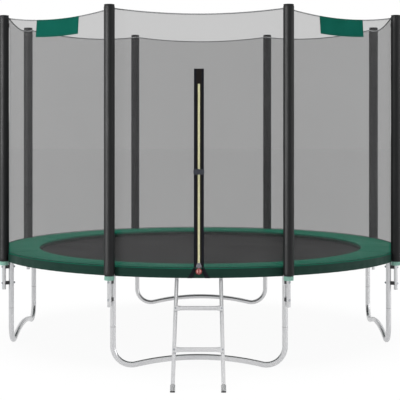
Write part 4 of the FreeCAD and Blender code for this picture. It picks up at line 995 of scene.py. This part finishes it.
    def hem(self) -> None:
        """Fold the top hem over its cord, and lay the cord along the foot."""
        surface = Surface()
        places = [(direction, share) for direction in self.ring.panels() for share in self.columns()]
        path = [self.net_point(direction, share, 1.0) + UP * 0.0042 for direction, share in places]
        surface.tube(path, self.hem_radius, 10, looped=True)
        self.shop.piece("net_hem", surface, "Net hem cloth", "net_cord", "net_top_hem")
        low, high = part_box("net_bottom_cord")
        height = (low.z + high.z) / 2
        points = [self.ring.at(self.net_radius, degrees, height) for degrees in self.ring.circuit(360)]
        cord = Surface()
        cord.tube(points, (high.z - low.z) / 2 - 0.0002, 8, looped=True)
        self.shop.piece("net_foot_cord", cord, "Net cord", "net_cord", "net_bottom_cord")

    def ties(self) -> None:
        """Tie the net's top corners to the sleeves with webbing."""
        low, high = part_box("net_ties")
        surface = Surface()
        for direction in self.ring.poles():
            along = self.ring.along(direction)
            for drop in (0.25, 0.75):
                height = low.z + (high.z - low.z) * drop
                path = [self.ring.at(self.tie_radius + 0.0008 * step, direction, height) for step in range(5)]
                surface.strap(path, along, 0.022, 0.0022)
            middle = self.ring.at(self.tie_radius + 0.0011, direction, (low.z + high.z) / 2)
            surface.strap([middle - UP * 0.015, middle, middle + UP * 0.015], along, 0.024, 0.0016)
        self.shop.piece("corner_ties", surface, "Black webbing", "mat_webbing", "net_ties")

    def patches(self) -> None:
        """Sew the plain cloth patches to the two panels beside the door."""
        cloth, thread = Surface(), Surface()
        width, height = self.patch_size
        half_panel = self.net_radius * math.sin(math.radians(self.ring.half_side))
        for direction in (-90 - 2 * self.ring.half_side, -90 + 2 * self.ring.half_side):
            along = self.ring.along(direction)
            foot, top = self.net_point(direction, 0.0, 0.0), self.net_point(direction, 0.0, 1.0)
            upward = (top - foot).normalized()
            face = along.cross(upward).normalized()

            def spot(u: float, v: float, proud: float) -> Vector:
                """Find a point of the patch.

                Args:
                    u: Along from the middle of the hem.
                    v: Down from the hem.
                    proud: In front of the patch's back.

                Returns:
                    The point.
                """
                hem = self.net_point(direction, u / half_panel, 1.0)
                ripple = 0.0007 * math.sin(u * 31 + v * 17)
                return hem + upward * (0.006 - v) + face * (self.patch_gap + ripple + proud)

            thick, pitch = self.patch_thickness, self.patch_pitch
            places = [[((u - 0.5) * width, height * (1 - v)) for u in shares(40)] for v in shares(12)]
            front, back = ([[spot(*mark, proud) for mark in row] for row in places] for proud in (thick, 0.0))
            cloth.grid(front)
            cloth.grid(back)
            rim = front[0] + [row[-1] for row in front[1:]]
            rim += list(reversed(front[-1][:-1])) + [row[0] for row in reversed(front[1:-1])]
            cloth.grid([rim, [point - face * thick for point in rim]], closed=True)
            for inset in (0.006, 0.0095):
                for u in (inset - width / 2, width / 2 - inset):
                    for step in range(int((height - 2 * inset) / pitch)):
                        thread.stitch(spot(u, inset + step * pitch, 0.0015), upward, face, 0.004, 0.001)
                for v in (inset, height - inset):
                    for step in range(int((width - 2 * inset) / pitch)):
                        point = spot(-width / 2 + inset + step * pitch, v, 0.0015)
                        thread.stitch(point, along, face, 0.004, 0.001)
        made = self.shop.piece("side_patches", cloth, "Green patch cloth", "patch_cloth", "name_patches")
        sewn = self.shop.piece("patch_stitches", thread, "Dark thread", "patch_cloth")

    def build(self) -> None:
        """Build the whole enclosure."""
        self.sleeves()
        self.sleeve_seams()
        self.caps()
        self.cuffs()
        self.net()
        self.hem()
        self.ties()
        self.patches()


# Mat, springs and pad


@dataclass
class JumpBed(Assembly):
    """The woven mat, its springs, and the pad over them.

    Attributes:
        mat_radius: The mat's radius inside its band.
        band_inner: The band's inner radius.
        band_outer: The band's outer radius.
        spring_count: How many springs pull the mat out.
        coil_start: The coil's inner end.
        coil_end: The coil's outer end.
        coil_radius: The coil's radius at the wire's centre.
        eye_middle: Where the middle of a spring's eye is.
        eye_end: Where the eye's wire meets the coil's middle line.
        wire: The wire's radius.
        turns: How many turns a coil has.
        rail_hook: Where a spring's hook drops into the rail.
        pad_inner: The pad's inner radius.
        pad_outer: The pad's outer radius.
        underside: The height of the pad's underside.
        pole_radius: How far the poles stand from the ring's centre.
        sleeve_clearance: The radius of the pad's notch round a sleeve.
        crown: How far the pad's top rises.
        lip: How far the pad's inner edge rolls down towards the mat.
        hook_across: How far each ladder hook is from the middle.
        hook_half: Half the width of the pad's pocket over a hook.
        hook_from: The radius where the pockets begin.
        hook_lift: How deep the pockets are.
        skirt_radius: The skirt's outer radius.
        skirt_wave: How far the skirt's waves go inward.
        skirt_gap: The angle from a pole to a skirt's end, in degrees.
        skirt_steps: Cloth columns in each skirt.
        seam_rows: The radii of the band's rings of stitches.
        strap_height: The middle height of the ties' loops.
        strap_loop: The radius of the ties' loops.
        rail_radius: The ring's radius at the rail's centre line.
    """

    mat_radius: float = 1.245
    band_inner: float = 1.2455
    band_outer: float = 1.300
    spring_count: int = 64
    eye_middle: float = 1.3136
    eye_end: float = 1.3236
    coil_start: float = 1.3286
    coil_end: float = 1.4540
    coil_radius: float = 0.0093
    wire: float = 0.0016
    turns: int = 33
    rail_hook: float = 1.4912
    pad_inner: float = 1.250
    pad_outer: float = 1.5345
    underside: float = 0.6597
    pole_radius: float = 1.560
    sleeve_clearance: float = 0.0382
    crown: float = 0.006
    lip: float = 0.0095
    hook_across: float = 0.1454
    hook_half: float = 0.019
    hook_from: float = 1.44
    hook_lift: float = 0.0078
    skirt_radius: float = 1.5356
    skirt_wave: float = 0.0022
    skirt_gap: float = 1.03
    skirt_steps: int = 150
    seam_rows: tuple[float, ...] = (1.252, 1.258, 1.286, 1.294)
    strap_height: float = 0.640
    strap_loop: float = 0.0199
    rail_radius: float = 1.506

    def mat(self) -> None:
        """Lay the woven mat, flat and taut."""
        low, high = (corner.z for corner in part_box("jumping_mat"))
        top, under = [], []
        around = self.ring.circuit(192)
        for share in shares(30)[1:]:
            level = [self.ring.at(self.mat_radius * share, degrees, high) for degrees in around]
            soft = [0.0006 * noise.noise(Vector((point.x * 3, point.y * 3, 0.0))) for point in level]
            top.append([point + UP * (rise - 0.0007) for point, rise in zip(level, soft)])
            under.append([point + UP * (low - high + rise + 0.0007) for point, rise in zip(level, soft)])
        surface = Surface()
        surface.grid(under + list(reversed(top)), closed=True, ends=True)
        made = self.shop.piece("mat_cloth", surface, "Mat weave", "mat_weave", "jumping_mat", "mat", 60)
        self.planar_cloth(made.data)

    def planar_cloth(self, mesh: bpy.types.Mesh) -> None:
        """Run the cloth coordinates straight across a flat piece."""
        points = [mesh.vertices[loop.vertex_index].co for loop in mesh.loops]
        mesh.uv_layers["cloth"].data.foreach_set("uv", [value for point in points for value in point.xy])

    def band(self) -> None:
        """Sew the webbing band round the mat, with its rows of stitches and a tab at each ring."""
        low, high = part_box("mat_edge_band")
        middle = (low.z + high.z) / 2
        half = (high.z - low.z) / 2
        inner, outer = self.band_inner, self.band_outer
        edge = [(inner, half * 0.6), (inner + 0.002, half), (outer - 0.002, half), (outer, half * 0.6)]
        section = [(radius, -rise) for radius, rise in edge] + edge[::-1]
        around = self.ring.circuit(384)
        surface = Surface()
        rows = []
        for degrees in around:
            rows.append([self.ring.at(radius, degrees, middle + rise) for radius, rise in section])
        surface.grid(rows, closed=True, looped=True)
        self.shop.piece("mat_band", surface, "Black webbing", "mat_webbing", "mat_edge_band", "mat", 50)
        thread, tabs = Surface(), Surface()
        for radius in self.seam_rows:
            for degrees in self.ring.circuit(int(2 * math.pi * radius / 0.011)):
                point = self.ring.at(radius, degrees, high.z)
                thread.stitch(point, self.ring.along(degrees), UP, 0.007, 0.0013)
        for direction in map(self.spring_direction, range(self.spring_count)):
            outward, along = self.ring.out(direction), self.ring.along(direction)
            for face in (1, -1):
                level = middle + face * (half + 0.0006)
                path = [self.ring.at(1.263 + 0.0093 * k, direction, level) for k in range(5)]
                tabs.strap(path, along, 0.034, 0.0012)
            for side in (-1, 1):
                for k in range(6):
                    point = self.ring.at(1.267 + 0.006 * k, direction, high.z + 0.0012) + along * side * 0.013
                    thread.stitch(point, outward, UP, 0.004, 0.0012)
        self.shop.piece("ring_tabs", tabs, "Black webbing", "mat_webbing", body="mat")
        self.shop.piece("band_stitches", thread, "Dark thread", "mat_webbing", body="mat")

    def spring_direction(self, number: int) -> float:
        """The direction of a spring, in degrees."""
        step = 360 / self.spring_count
        return -90 + self.ring.half_side + step / 2 + step * number

    def spring_path(self) -> list[Vector]:
        """The wire of one spring, drawn outward along X with the eye at its inner end.

        Returns:
            Points in metres, level with the rail's centre.
        """

        def wound(x: float, radius: float, turn: float) -> Vector:
            """A point of the coil."""
            return Vector((x, radius * math.sin(turn), radius * math.cos(turn)))

        path = []
        for turn in (math.radians(-200 + 14 * k) for k in range(15)):
            path.append(Vector((self.eye_middle + 0.006 * math.cos(turn), 0.0, 0.006 * math.sin(turn))))
        path += [Vector((self.eye_middle + 0.0078, 0.0, -0.0012)), Vector((self.eye_end, 0.0, 0.0))]
        lead, steps = shares(8), self.turns * 10
        for share in lead[1:]:
            x = self.eye_end + (self.coil_start - self.eye_end) * share
            path.append(wound(x, self.coil_radius * smooth_step(share), math.pi * share))
        for k in range(1, steps):
            x = self.coil_start + (self.coil_end - self.coil_start) * k / steps
            path.append(wound(x, self.coil_radius, math.pi + 2 * math.pi * k / 10))
        last = math.pi + 2 * math.pi * self.turns
        for share in lead[:-1]:
            radius = self.coil_radius * (1 - smooth_step(share))
            path.append(wound(self.coil_end + 0.006 * share, radius, last + math.pi * share))
        hook = ((-0.004, 0.0), (-0.0012, -0.0006), (0.0, -0.0022), (0.0, -0.0045))
        path.append(Vector((self.coil_end + 0.0075, 0.0, 0.0)))
        return path + [Vector((self.rail_hook + back, 0.0, drop)) for back, drop in hook]

    def springs(self) -> None:
        """Wind the coil springs, each stretching between the rail and the mat."""
        low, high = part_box("springs")
        height = (low.z + high.z) / 2
        pattern = Surface()
        pattern.tube(self.spring_path(), self.wire, 6)
        middle = Matrix.Translation((self.ring.centre.x, self.ring.centre.y, height))
        for number in range(self.spring_count):
            direction = self.spring_direction(number)
            place = middle @ Matrix.Rotation(math.radians(direction), 4, "Z")
            copy = Surface()
            copy.points = [place @ point for point in pattern.points]
            copy.faces, copy.marks = pattern.faces, pattern.marks
            name = f"spring_{number + 1:02d}"
            made = self.shop.piece(name, copy, "Zinc wire", "spring_steel", "springs", None, 180)
            outer = self.ring.at(self.coil_end + 0.006, direction, height)
            inner = self.ring.at(self.coil_start - 0.004, direction, height)
            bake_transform(made)

    def pole_notch(self, direction: float) -> float:
        """The pad's outer radius at a direction, which dips round each sleeve.

        Args:
            direction: In degrees.

        Returns:
            The radius in metres.
        """
        offset = math.radians(self.ring.off_pole(direction))
        across, reach = self.pole_radius * math.sin(offset), self.pole_radius * math.cos(offset)
        if abs(across) >= self.sleeve_clearance:
            return self.pad_outer
        return min(self.pad_outer, reach - math.sqrt(self.sleeve_clearance**2 - across**2))

    def pad_floor(self, point: Vector, flat: float) -> float:
        """The height of the pad's underside, which rises over the ladder's two hooks.

        Args:
            point: A point of the underside.
            flat: Its height elsewhere.

        Returns:
            The height in metres.
        """
        near_front = point.y < self.ring.centre.y - self.hook_from
        over_hook = abs(abs(point.x) - self.hook_across) < self.hook_half
        return flat + self.hook_lift if near_front and over_hook else flat

    def pad_directions(self) -> list[float]:
        """Directions round the pad, closer together at the sleeves.

        Returns:
            Degrees from 0 up to 360.
        """
        wide, fine = 0.36, 0.12
        found, direction = [], 0.0
        while direction < 360 - 1e-6:
            found.append(direction)
            direction += fine if abs(self.ring.off_pole(direction)) < 1.5 else wide
        return found

    def pad(self) -> None:
        """Build the foam pad in its green cover, crowned, seamed and notched at the sleeves, with a dark band
        of painted shade along its inner edge.
        """
        floor, top = self.underside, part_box("spring_pad")[1].z
        lip = floor - self.lip
        rows, shade_band_rows = [], []
        for direction in self.pad_directions():
            turn = math.radians(direction)
            seam = math.exp(-((math.radians(abs(self.ring.off_pole(direction))) * 1.4 / 0.006) ** 2))
            outer = self.pole_notch(direction)
            inner = self.pad_inner + 0.0006 * noise.noise(Vector((math.cos(turn) * 9, math.sin(turn) * 9, 0)))
            row = [(inner + 0.002, lip), (inner, lip + 0.004)]
            row += [(inner, top - 0.008), (inner + 0.002, top - 0.0035)]
            for share in shares(12):
                radius = inner + 0.006 + (outer - 0.006 - inner - 0.006) * share
                swell = self.crown * math.sin(math.pi * min(share * 1.12, 1.0)) ** 0.8 * (1 - 0.75 * seam)
                ripple = 0.0007 * noise.noise(self.ring.at(radius, direction, 0.0) * 11)
                row.append((radius, top - 0.0012 - 0.0022 * seam + swell + ripple))
            row += [(outer - 0.002, top - 0.0032), (outer, top - 0.008), (outer, floor + 0.004)]
            row += [(outer - 0.002, floor), (outer - 0.06, floor), ((inner + outer) / 2, floor)]
            row += [(inner + 0.05, floor), (inner + 0.012, lip)]
            points = [self.ring.at(radius, direction, height) for radius, height in row]
            for point in points[-5:-1]:
                point.z = self.pad_floor(point, point.z)
            rows.append(points)
            # A dark band over the pad's inner edge is painted shade on that upright face.
            hung = ((0.0004, -0.0055), (-0.0008, -0.0058), (-0.0009, 0.0140), (0.0004, 0.0146))
            edge = self.pad_inner
            shade_band_rows.append([self.ring.at(edge + inset, direction, lip + rise) for inset, rise in hung])
        surface, shade_band = Surface(), Surface()
        surface.grid(rows, closed=True, looped=True)
        made = self.shop.piece("edge_pad", surface, "Green pad cover", "pad_cover", "spring_pad", crease=70)
        shade_band.grid(shade_band_rows, closed=True, looped=True)
        self.shop.piece("inner_edge_painted_shade", shade_band, "Green piping and painted shade", "pad_cover", crease=50)

    def skirt(self) -> None:
        """Hang the pad's skirt between the sleeves, with its hem, piping and stitches."""
        low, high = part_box("pad_skirt")[0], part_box("spring_pad")[1]
        cloth, piping, thread = Surface(), Surface(), Surface()
        front = [(0.0, 0.0586, 0.0), (0.0, 0.045, 0.25), (0.0, 0.025, 0.6), (0.0, 0.012, 0.9)]
        hem = [(0.0004, 0.006, 1.0), (0.0002, 0.0004, 1.0), (-0.0022, 0.0006, 1.0), (-0.0024, 0.011, 1.0)]
        back = [(-0.0014, 0.013, 0.9), (-0.0014, 0.025, 0.6), (-0.0014, 0.045, 0.25), (-0.0014, 0.0586, 0.0)]
        for panel, middle in enumerate(self.ring.panels()):
            reach = self.ring.half_side - self.skirt_gap
            rows, welt = [], []
            for s in range(self.skirt_steps + 1):
                direction = middle + reach * (2 * s / self.skirt_steps - 1)
                calm = smooth_step((abs(direction + 90) - 7.5) / 2.5) if panel == 0 else 1.0
                swing = math.sin(s * 0.55 + panel * 1.3 + 0.7 * math.sin(s * 0.21))
                wave = self.skirt_wave * (0.5 + 0.5 * swing) * calm
                row = []
                for inset, rise, share in front + hem + back:
                    radius = self.skirt_radius + inset - wave * share
                    row.append(self.ring.at(radius, direction, low.z + rise))
                rows.append(row)
                welt.append(self.ring.at(self.skirt_radius - 0.0018, direction, high.z - 0.0048))
                if s % 2 == 0:
                    along, outward = self.ring.along(direction), self.ring.out(direction)
                    for rise in (0.0125, 0.0165):
                        radius = self.skirt_radius + 0.0002 - wave * 0.9
                        point = self.ring.at(radius, direction, low.z + rise)
                        thread.stitch(point, along, outward, 0.006, 0.0011)
            cloth.grid(rows, closed=True, ends=True)
            piping.tube(welt, 0.0021, 8)
        # The skirt cloth's darker green is painted shade on its upright face.
        made = self.shop.piece("skirt_cloth", cloth, "Green skirt cloth in painted shade", "pad_cover", "pad_skirt", crease=50)
        welted = self.shop.piece("pad_piping", piping, "Green piping and painted shade", "pad_cover")
        sewn = self.shop.piece("skirt_stitches", thread, "Green piping and painted shade", "pad_cover")

    def pad_straps(self) -> None:
        """Loop the webbing ties under the rail."""
        surface = Surface()
        for direction in self.ring.panels():
            outward, drop = self.ring.out(direction) * self.strap_loop, UP * self.strap_loop
            centre = self.ring.at(self.rail_radius, direction, self.strap_height)
            path = [centre + outward + UP * (0.0188 - 0.006 * k) for k in range(3)]
            for turn in (math.pi * share for share in shares(16)):
                path.append(centre + outward * math.cos(turn) - drop * math.sin(turn))
            path += [centre - outward + UP * (0.0068 + 0.006 * k) for k in range(3)]
            surface.strap(path, self.ring.along(direction), 0.015, 0.0012)
        self.shop.piece("pad_straps", surface, "Black webbing", "mat_webbing", "pad_ties")

    def build(self) -> None:
        """Build everything that is jumped on."""
        self.mat()
        self.band()
        self.shop.dress(["mat_rings"], "Zinc wire")
        self.springs()
        self.pad()
        self.skirt()
        self.pad_straps()


# Door


@dataclass
class Door(Assembly):
    """The zip up the front panel, its toggle, and the buckle across it.

    Attributes:
        lean: How far the front panel leans inward, in degrees.
        foot_radius: The net's outer radius at the door's foot.
        foot_height: The height of the door's foot.
        band_width: The black band's full width.
        tape_front: How far out the tape ends hang over the pad.
        tape_back: How far out they begin.
        tooth_pitch: The distance between teeth on one side.
        tooth_proud: How far the teeth stand in front of the net.
        toggle_radius: The toggle's radius.
        pull_lean: How far the hanging toggle faces up, in degrees.
    """

    lean: float = 3.959
    foot_radius: float = 1.523
    foot_height: float = 0.6869
    band_width: float = 0.066
    tape_front: float = 1.5373
    tape_back: float = 1.5258
    tooth_pitch: float = 0.0042
    tooth_proud: float = 0.0038
    toggle_radius: float = 0.0206
    pull_lean: float = 20.0

    @property
    def upward(self) -> Vector:
        """The direction up the door."""
        return Vector((0.0, math.sin(math.radians(self.lean)), math.cos(math.radians(self.lean))))

    @property
    def outward(self) -> Vector:
        """The direction out of the door."""
        return Vector((0.0, -math.cos(math.radians(self.lean)), math.sin(math.radians(self.lean))))

    def place(self, across: float, height: float, proud: float) -> Vector:
        """A point on the door.

        Args:
            across: To the right of its middle line.
            height: Above the ground.
            proud: In front of the net.

        Returns:
            The point.
        """
        foot = self.ring.at(self.foot_radius, -90, self.foot_height)
        rise = (height - self.foot_height) / math.cos(math.radians(self.lean))
        return foot + Vector((across, 0, 0)) + self.upward * rise + self.outward * proud

    def band(self) -> None:
        """Lay the black band, its facings and its rows of stitches."""
        low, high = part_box("door_band")
        tape, facing, thread = Surface(), Surface(), Surface()
        heights = levels(low.z, high.z, 120)
        tape.strap([self.place(0.0, height, 0.0011) for height in heights], RIGHT, self.band_width, 0.0014)
        for sign in (-1, 1):
            edge = [self.place(sign * 0.0250, height, 0.0019) for height in heights]
            facing.strap(edge, RIGHT, 0.0145, 0.0010)
            level = low.z + 0.01
            while level < high.z - 0.006:
                for across in (0.0195, 0.0305):
                    point = self.place(sign * across, level, 0.0024)
                    thread.stitch(point, self.upward, self.outward, 0.005, 0.0010)
                level += 0.0075
        for step in range(7):
            across = -0.024 + 0.008 * step
            thread.stitch(self.place(across, high.z - 0.012, 0.0024), RIGHT, self.outward, 0.006, 0.0010)
        self.shop.piece("zip_band", tape, "Zip tape", "door_webbing", "door_band")
        self.shop.piece("zip_facings", facing, "Navy facing", "door_webbing")
        self.shop.piece("zip_stitches", thread, "Dark thread", "door_webbing")

    def teeth(self) -> None:
        """Set the zip's interlocked teeth between their corded edges."""
        low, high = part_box("zip_teeth")
        surface = Surface()
        axes = (RIGHT, self.upward, self.outward)
        for k in range(int((high.z - low.z) / self.tooth_pitch)):
            for sign, shift in ((-1, 0.0), (1, 0.5)):
                level = low.z + (k + shift + 0.3) * self.tooth_pitch
                middle = self.place(sign * 0.0024, level, self.tooth_proud)
                if level <= high.z - 0.001:
                    surface.block(middle, axes, (0.0066, 0.0024, 0.0023), 0.0005)
        for sign in (-1, 1):
            proud = self.tooth_proud - 0.0003
            edge = [self.place(sign * 0.0058, height, proud) for height in levels(low.z, high.z, 60)]
            surface.tube(edge, 0.0011, 6)
        stop = self.place(0.0, high.z - 0.002, self.tooth_proud)
        surface.block(stop, axes, (0.013, 0.003, 0.0024), 0.0005)
        self.shop.piece("teeth_rows", surface, "Yellow teeth", "zip_coil", "zip_teeth", crease=35)

    def tapes(self) -> None:
        """Spread the two tape ends over the pad's edge and down its skirt."""
        low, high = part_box("door_tapes")
        surface = Surface()
        front, back = self.ring.centre.y - self.tape_front, self.ring.centre.y - self.tape_back
        top = high.z - 0.003
        lid = high.z - 0.001
        over = ((back, lid), ((back + front) / 2, lid), (front + 0.0012, high.z - 0.0011))
        widths = [0.018] * len(over) + [0.018 + 0.016 * share for share in shares(12)]
        for sign in (-1, 1):
            path = [Vector((sign * 0.030, y, z)) for y, z in over]
            for share in shares(12):
                path.append(Vector((sign * (0.030 + 0.029 * share**1.4), front, top - (top - low.z) * share)))
            surface.strap(path, RIGHT, widths, 0.0018)
        self.shop.piece("tape_ends", surface, "Navy facing", "door_webbing", "door_tapes", crease=60)

    def toggle(self) -> None:
        """Mould the red toggle with its pale face."""
        low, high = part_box("zip_toggle")
        middle = (low + high) / 2
        tilt = math.radians(self.pull_lean)
        axis = Vector((0.0, -math.cos(tilt), math.sin(tilt)))
        radius = self.toggle_radius
        rim, face = Surface(), Surface()
        side = [(0.86, -0.0033), (0.95, -0.0028), (1.0, -0.0016), (1.0, 0.0014), (0.97, 0.0028)]
        bead = [(0.9, 0.0034), (0.82, 0.0032), (0.76, 0.0020), (0.74, 0.0016)]
        rim.lathe(middle, axis, [(radius * share, height) for share, height in side + bead], 56)
        inlay = [(0.72, 0.0014), (0.70, 0.0022), (0.64, 0.0027), (0.40, 0.0029), (0.05, 0.0030)]
        face.lathe(middle, axis, [(radius * share, height) for share, height in inlay], 48)
        bar = axis.cross(RIGHT).normalized()
        rim.block(middle + axis * 0.003, (RIGHT, bar, axis), (0.008, 0.026, 0.0022), 0.0006)
        self.shop.piece("toggle_rim", rim, "Red toggle", "toggle_plastic", "zip_toggle", "pull", 50)
        self.shop.piece("toggle_face", face, "Pale toggle face", "toggle_plastic", body="pull", crease=50)

    def build(self) -> None:
        """Build and dress the door."""
        self.band()
        self.teeth()
        self.tapes()
        self.toggle()
        self.shop.dress(["zip_slider", "zip_pull_tab"], "Nickel")
        self.shop.dress(["buckle_socket", "buckle_plug"], "Buckle plastic")


# Ladder


@dataclass
class Ladder(Assembly):
    """The hook-on ladder, which keeps its construction shapes.

    Attributes:
        sole: How high the dark sole of each foot reaches.
    """

    sole: float = 0.009

    def pale_shank(self) -> None:
        """Mould the feet in zinc grey above their dark soles."""
        tree = self.shop.finishes["Foot rubber"].node_tree
        shader = tree.nodes["Principled BSDF"]
        dark = shader.inputs["Base Color"].links[0].from_socket
        sketch = NodeSketch(tree)
        height = sketch.add("SeparateXYZ", {0: sketch.add("TexCoord").outputs["Object"]}).outputs[2]
        above = sketch.add("MapRange", {0: height, 1: self.sole, 2: self.sole + 0.002}).outputs[0]
        tree.links.new(sketch.blend(above, dark, linear(160, 161, 162)), shader.inputs["Base Color"])

    def build(self) -> None:
        """Give the ladder its finishes."""
        tubes = ["ladder_stile_left", "ladder_stile_right", "ladder_rung_upper", "ladder_rung_lower"]
        self.shop.dress(tubes, "Galvanised tube")
        self.shop.dress(["ladder_bolts"], "Bolt zinc")
        self.shop.dress(["ladder_feet"], "Foot rubber")
        self.pale_shank()


# Studio


@dataclass
class Studio:
    """Floor, soft lamps, pale surroundings and the camera.

    Attributes:
        ring: The circle that the camera and the lamps face.
        distance: From the camera to the ring's centre.
        eye_height: The camera's height.
        heading: How far the camera stands round to the right, in degrees.
        focal: The lens's focal length in millimetres.
        rise: The lens's upward shift.
        daylight: How strongly the surroundings light the object.
        sideways: The lens's shift to the right.
        aim: The height that the lamps face.
    """

    ring: Ring
    distance: float = 9.455
    eye_height: float = 1.654
    heading: float = 0.347
    focal: float = 108.34
    rise: float = -0.1985
    daylight: float = 0.16
    sideways: float = -0.0006
    aim: float = 1.2

    def camera(self) -> None:
        """Stand the camera in front of the door."""
        data = bpy.data.cameras.new("studio_camera")
        data.lens, data.sensor_width = self.focal, 36.0
        data.shift_x, data.shift_y = self.sideways, self.rise
        camera = bpy.data.objects.new("studio_camera", data)
        turn = math.radians(self.heading)
        offset = Vector((math.sin(turn), -math.cos(turn), 0.0)) * self.distance
        camera.location = (self.ring.centre.x + offset.x, self.ring.centre.y + offset.y, self.eye_height)
        camera.rotation_euler = (math.radians(90), 0.0, turn)
        bpy.context.scene.collection.objects.link(camera)
        bpy.context.scene.camera = camera

    def lamp(
        self,
        name: str,
        place: tuple[float, float, float],
        size: tuple[float, float],
        power: float,
        lit: bool = True,
        mirrored: bool = True,
    ) -> None:
        """Hang a soft lamp that faces the trampoline.

        Args:
            name: The lamp's name.
            place: Where it hangs.
            size: Its width and height.
            power: Its power in watts.
            lit: Whether it lights plain surfaces.
            mirrored: Whether bare metal and gloss show it.
        """
        data = bpy.data.lights.new(name, "AREA")
        data.shape, data.size, data.size_y, data.energy = "RECTANGLE", size[0], size[1], power
        lamp = bpy.data.objects.new(name, data)
        lamp.location = place
        lamp.visible_diffuse, lamp.visible_glossy = lit, mirrored
        target = Vector((self.ring.centre.x, self.ring.centre.y, self.aim))
        lamp.rotation_euler = (target - lamp.location).to_track_quat("-Z", "Y").to_euler()
        bpy.context.scene.collection.objects.link(lamp)

    def lamps(self) -> None:
        """Hang the key lamp and a streak for gloss on the left, a weak fill and a top lamp."""
        self.lamp("key_lamp", (-7.4, -6.2, 2.6), (1.3, 5.0), 340.0, mirrored=False)
        self.lamp("streak_lamp", (-7.4, -6.2, 2.6), (1.3, 5.0), 1600.0, lit=False)
        self.lamp("fill_lamp", (9.0, -2.6, 2.6), (1.2, 5.0), 200.0)
        self.lamp("top_lamp", (0.0, 0.6, 8.5), (7.0, 7.0), 1150.0, mirrored=False)

    def streak_on_sleeves(self) -> None:
        """Let the streak lamp reach the padded poles alone, so bare tubes keep their grey."""
        reached = bpy.data.collections.new("streak_receivers")
        for made in bpy.context.scene.objects:
            if made.name.startswith("sleeve_"):
                reached.objects.link(made)
        bpy.data.objects["streak_lamp"].light_linking.receiver_collection = reached

    def seen_white(self, tree: bpy.types.NodeTree) -> bpy.types.NodeSocket:
        """Mask the rays that should find plain white: seen directly, in gloss or through glass.

        Args:
            tree: The nodes that the mask is for.

        Returns:
            The mask.
        """
        sketch = NodeSketch(tree)
        rays = sketch.add("LightPath").outputs
        total = sketch.math("ADD", rays["Is Camera Ray"], rays["Is Glossy Ray"])
        links = {0: total, 1: rays["Is Transmission Ray"]}
        return sketch.add("Math", links, operation="ADD", use_clamp=True).outputs[0]

    def surroundings(self) -> None:
        """Set white surroundings that light the object at a plain level."""
        world = bpy.data.worlds.new("studio_world")
        bpy.context.scene.world = world
        world.use_nodes = True
        tree = world.node_tree
        background = tree.nodes["Background"]
        background.inputs["Color"].default_value = WHITE
        sketch = NodeSketch(tree)
        strength = sketch.add("MapRange", {0: self.seen_white(tree), 3: self.daylight, 4: 1.0}).outputs[0]
        tree.links.new(strength, background.inputs["Strength"])

    def floor(self) -> None:
        """Lay the pale floor, which keeps a faint shadow."""
        surface = Surface()
        lines = [60.0 * (2 * share - 1) for share in shares(16)]
        surface.grid([[Vector((x, y, -0.0005)) for x in lines] for y in lines])
        floor = bpy.data.objects.new("studio_floor", surface.mesh("studio_floor"))
        bpy.context.scene.collection.objects.link(floor)
        made = bpy.data.materials.new("Pale floor")
        made.use_nodes = True
        tree = made.node_tree
        shader = tree.nodes["Principled BSDF"]
        shader.inputs["Base Color"].default_value = (0.86, 0.86, 0.86, 1.0)
        shader.inputs["Roughness"].default_value = 0.9
        shader.inputs["Emission Color"].default_value = WHITE
        sketch = NodeSketch(tree)
        glow = sketch.add("Emission", {"Color": WHITE, "Strength": 1.0}).outputs[0]
        share = sketch.math("MULTIPLY", self.seen_white(tree), 0.95)
        mixed = sketch.add("MixShader", {0: share, 1: shader.outputs[0], 2: glow}).outputs[0]
        tree.links.new(mixed, tree.nodes["Material Output"].inputs["Surface"])
        floor.data.materials.append(made)

    def build(self) -> None:
        """Set up the studio."""
        bpy.context.scene.view_settings.view_transform = "Standard"
        self.camera()
        self.lamps()
        self.surroundings()
        self.floor()


def main() -> None:
    """Build the trampoline's finishes and soft goods, then the studio."""
    logging.basicConfig(level=logging.INFO, format="%(relativeCreated)6d ms %(name)s %(message)s")
    low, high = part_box("jumping_mat")
    ring = Ring((low + high) / 2)
    shop = Workshop(make_finishes())
    studio = Studio(ring)
    studio.build()
    for assembly in (TubeFrame, Enclosure, JumpBed, Door, Ladder):
        assembly(ring, shop).build()
    studio.streak_on_sleeves()
    LOG.info("%d pieces", len(shop.made))


if __name__ == "__main__":
    main()
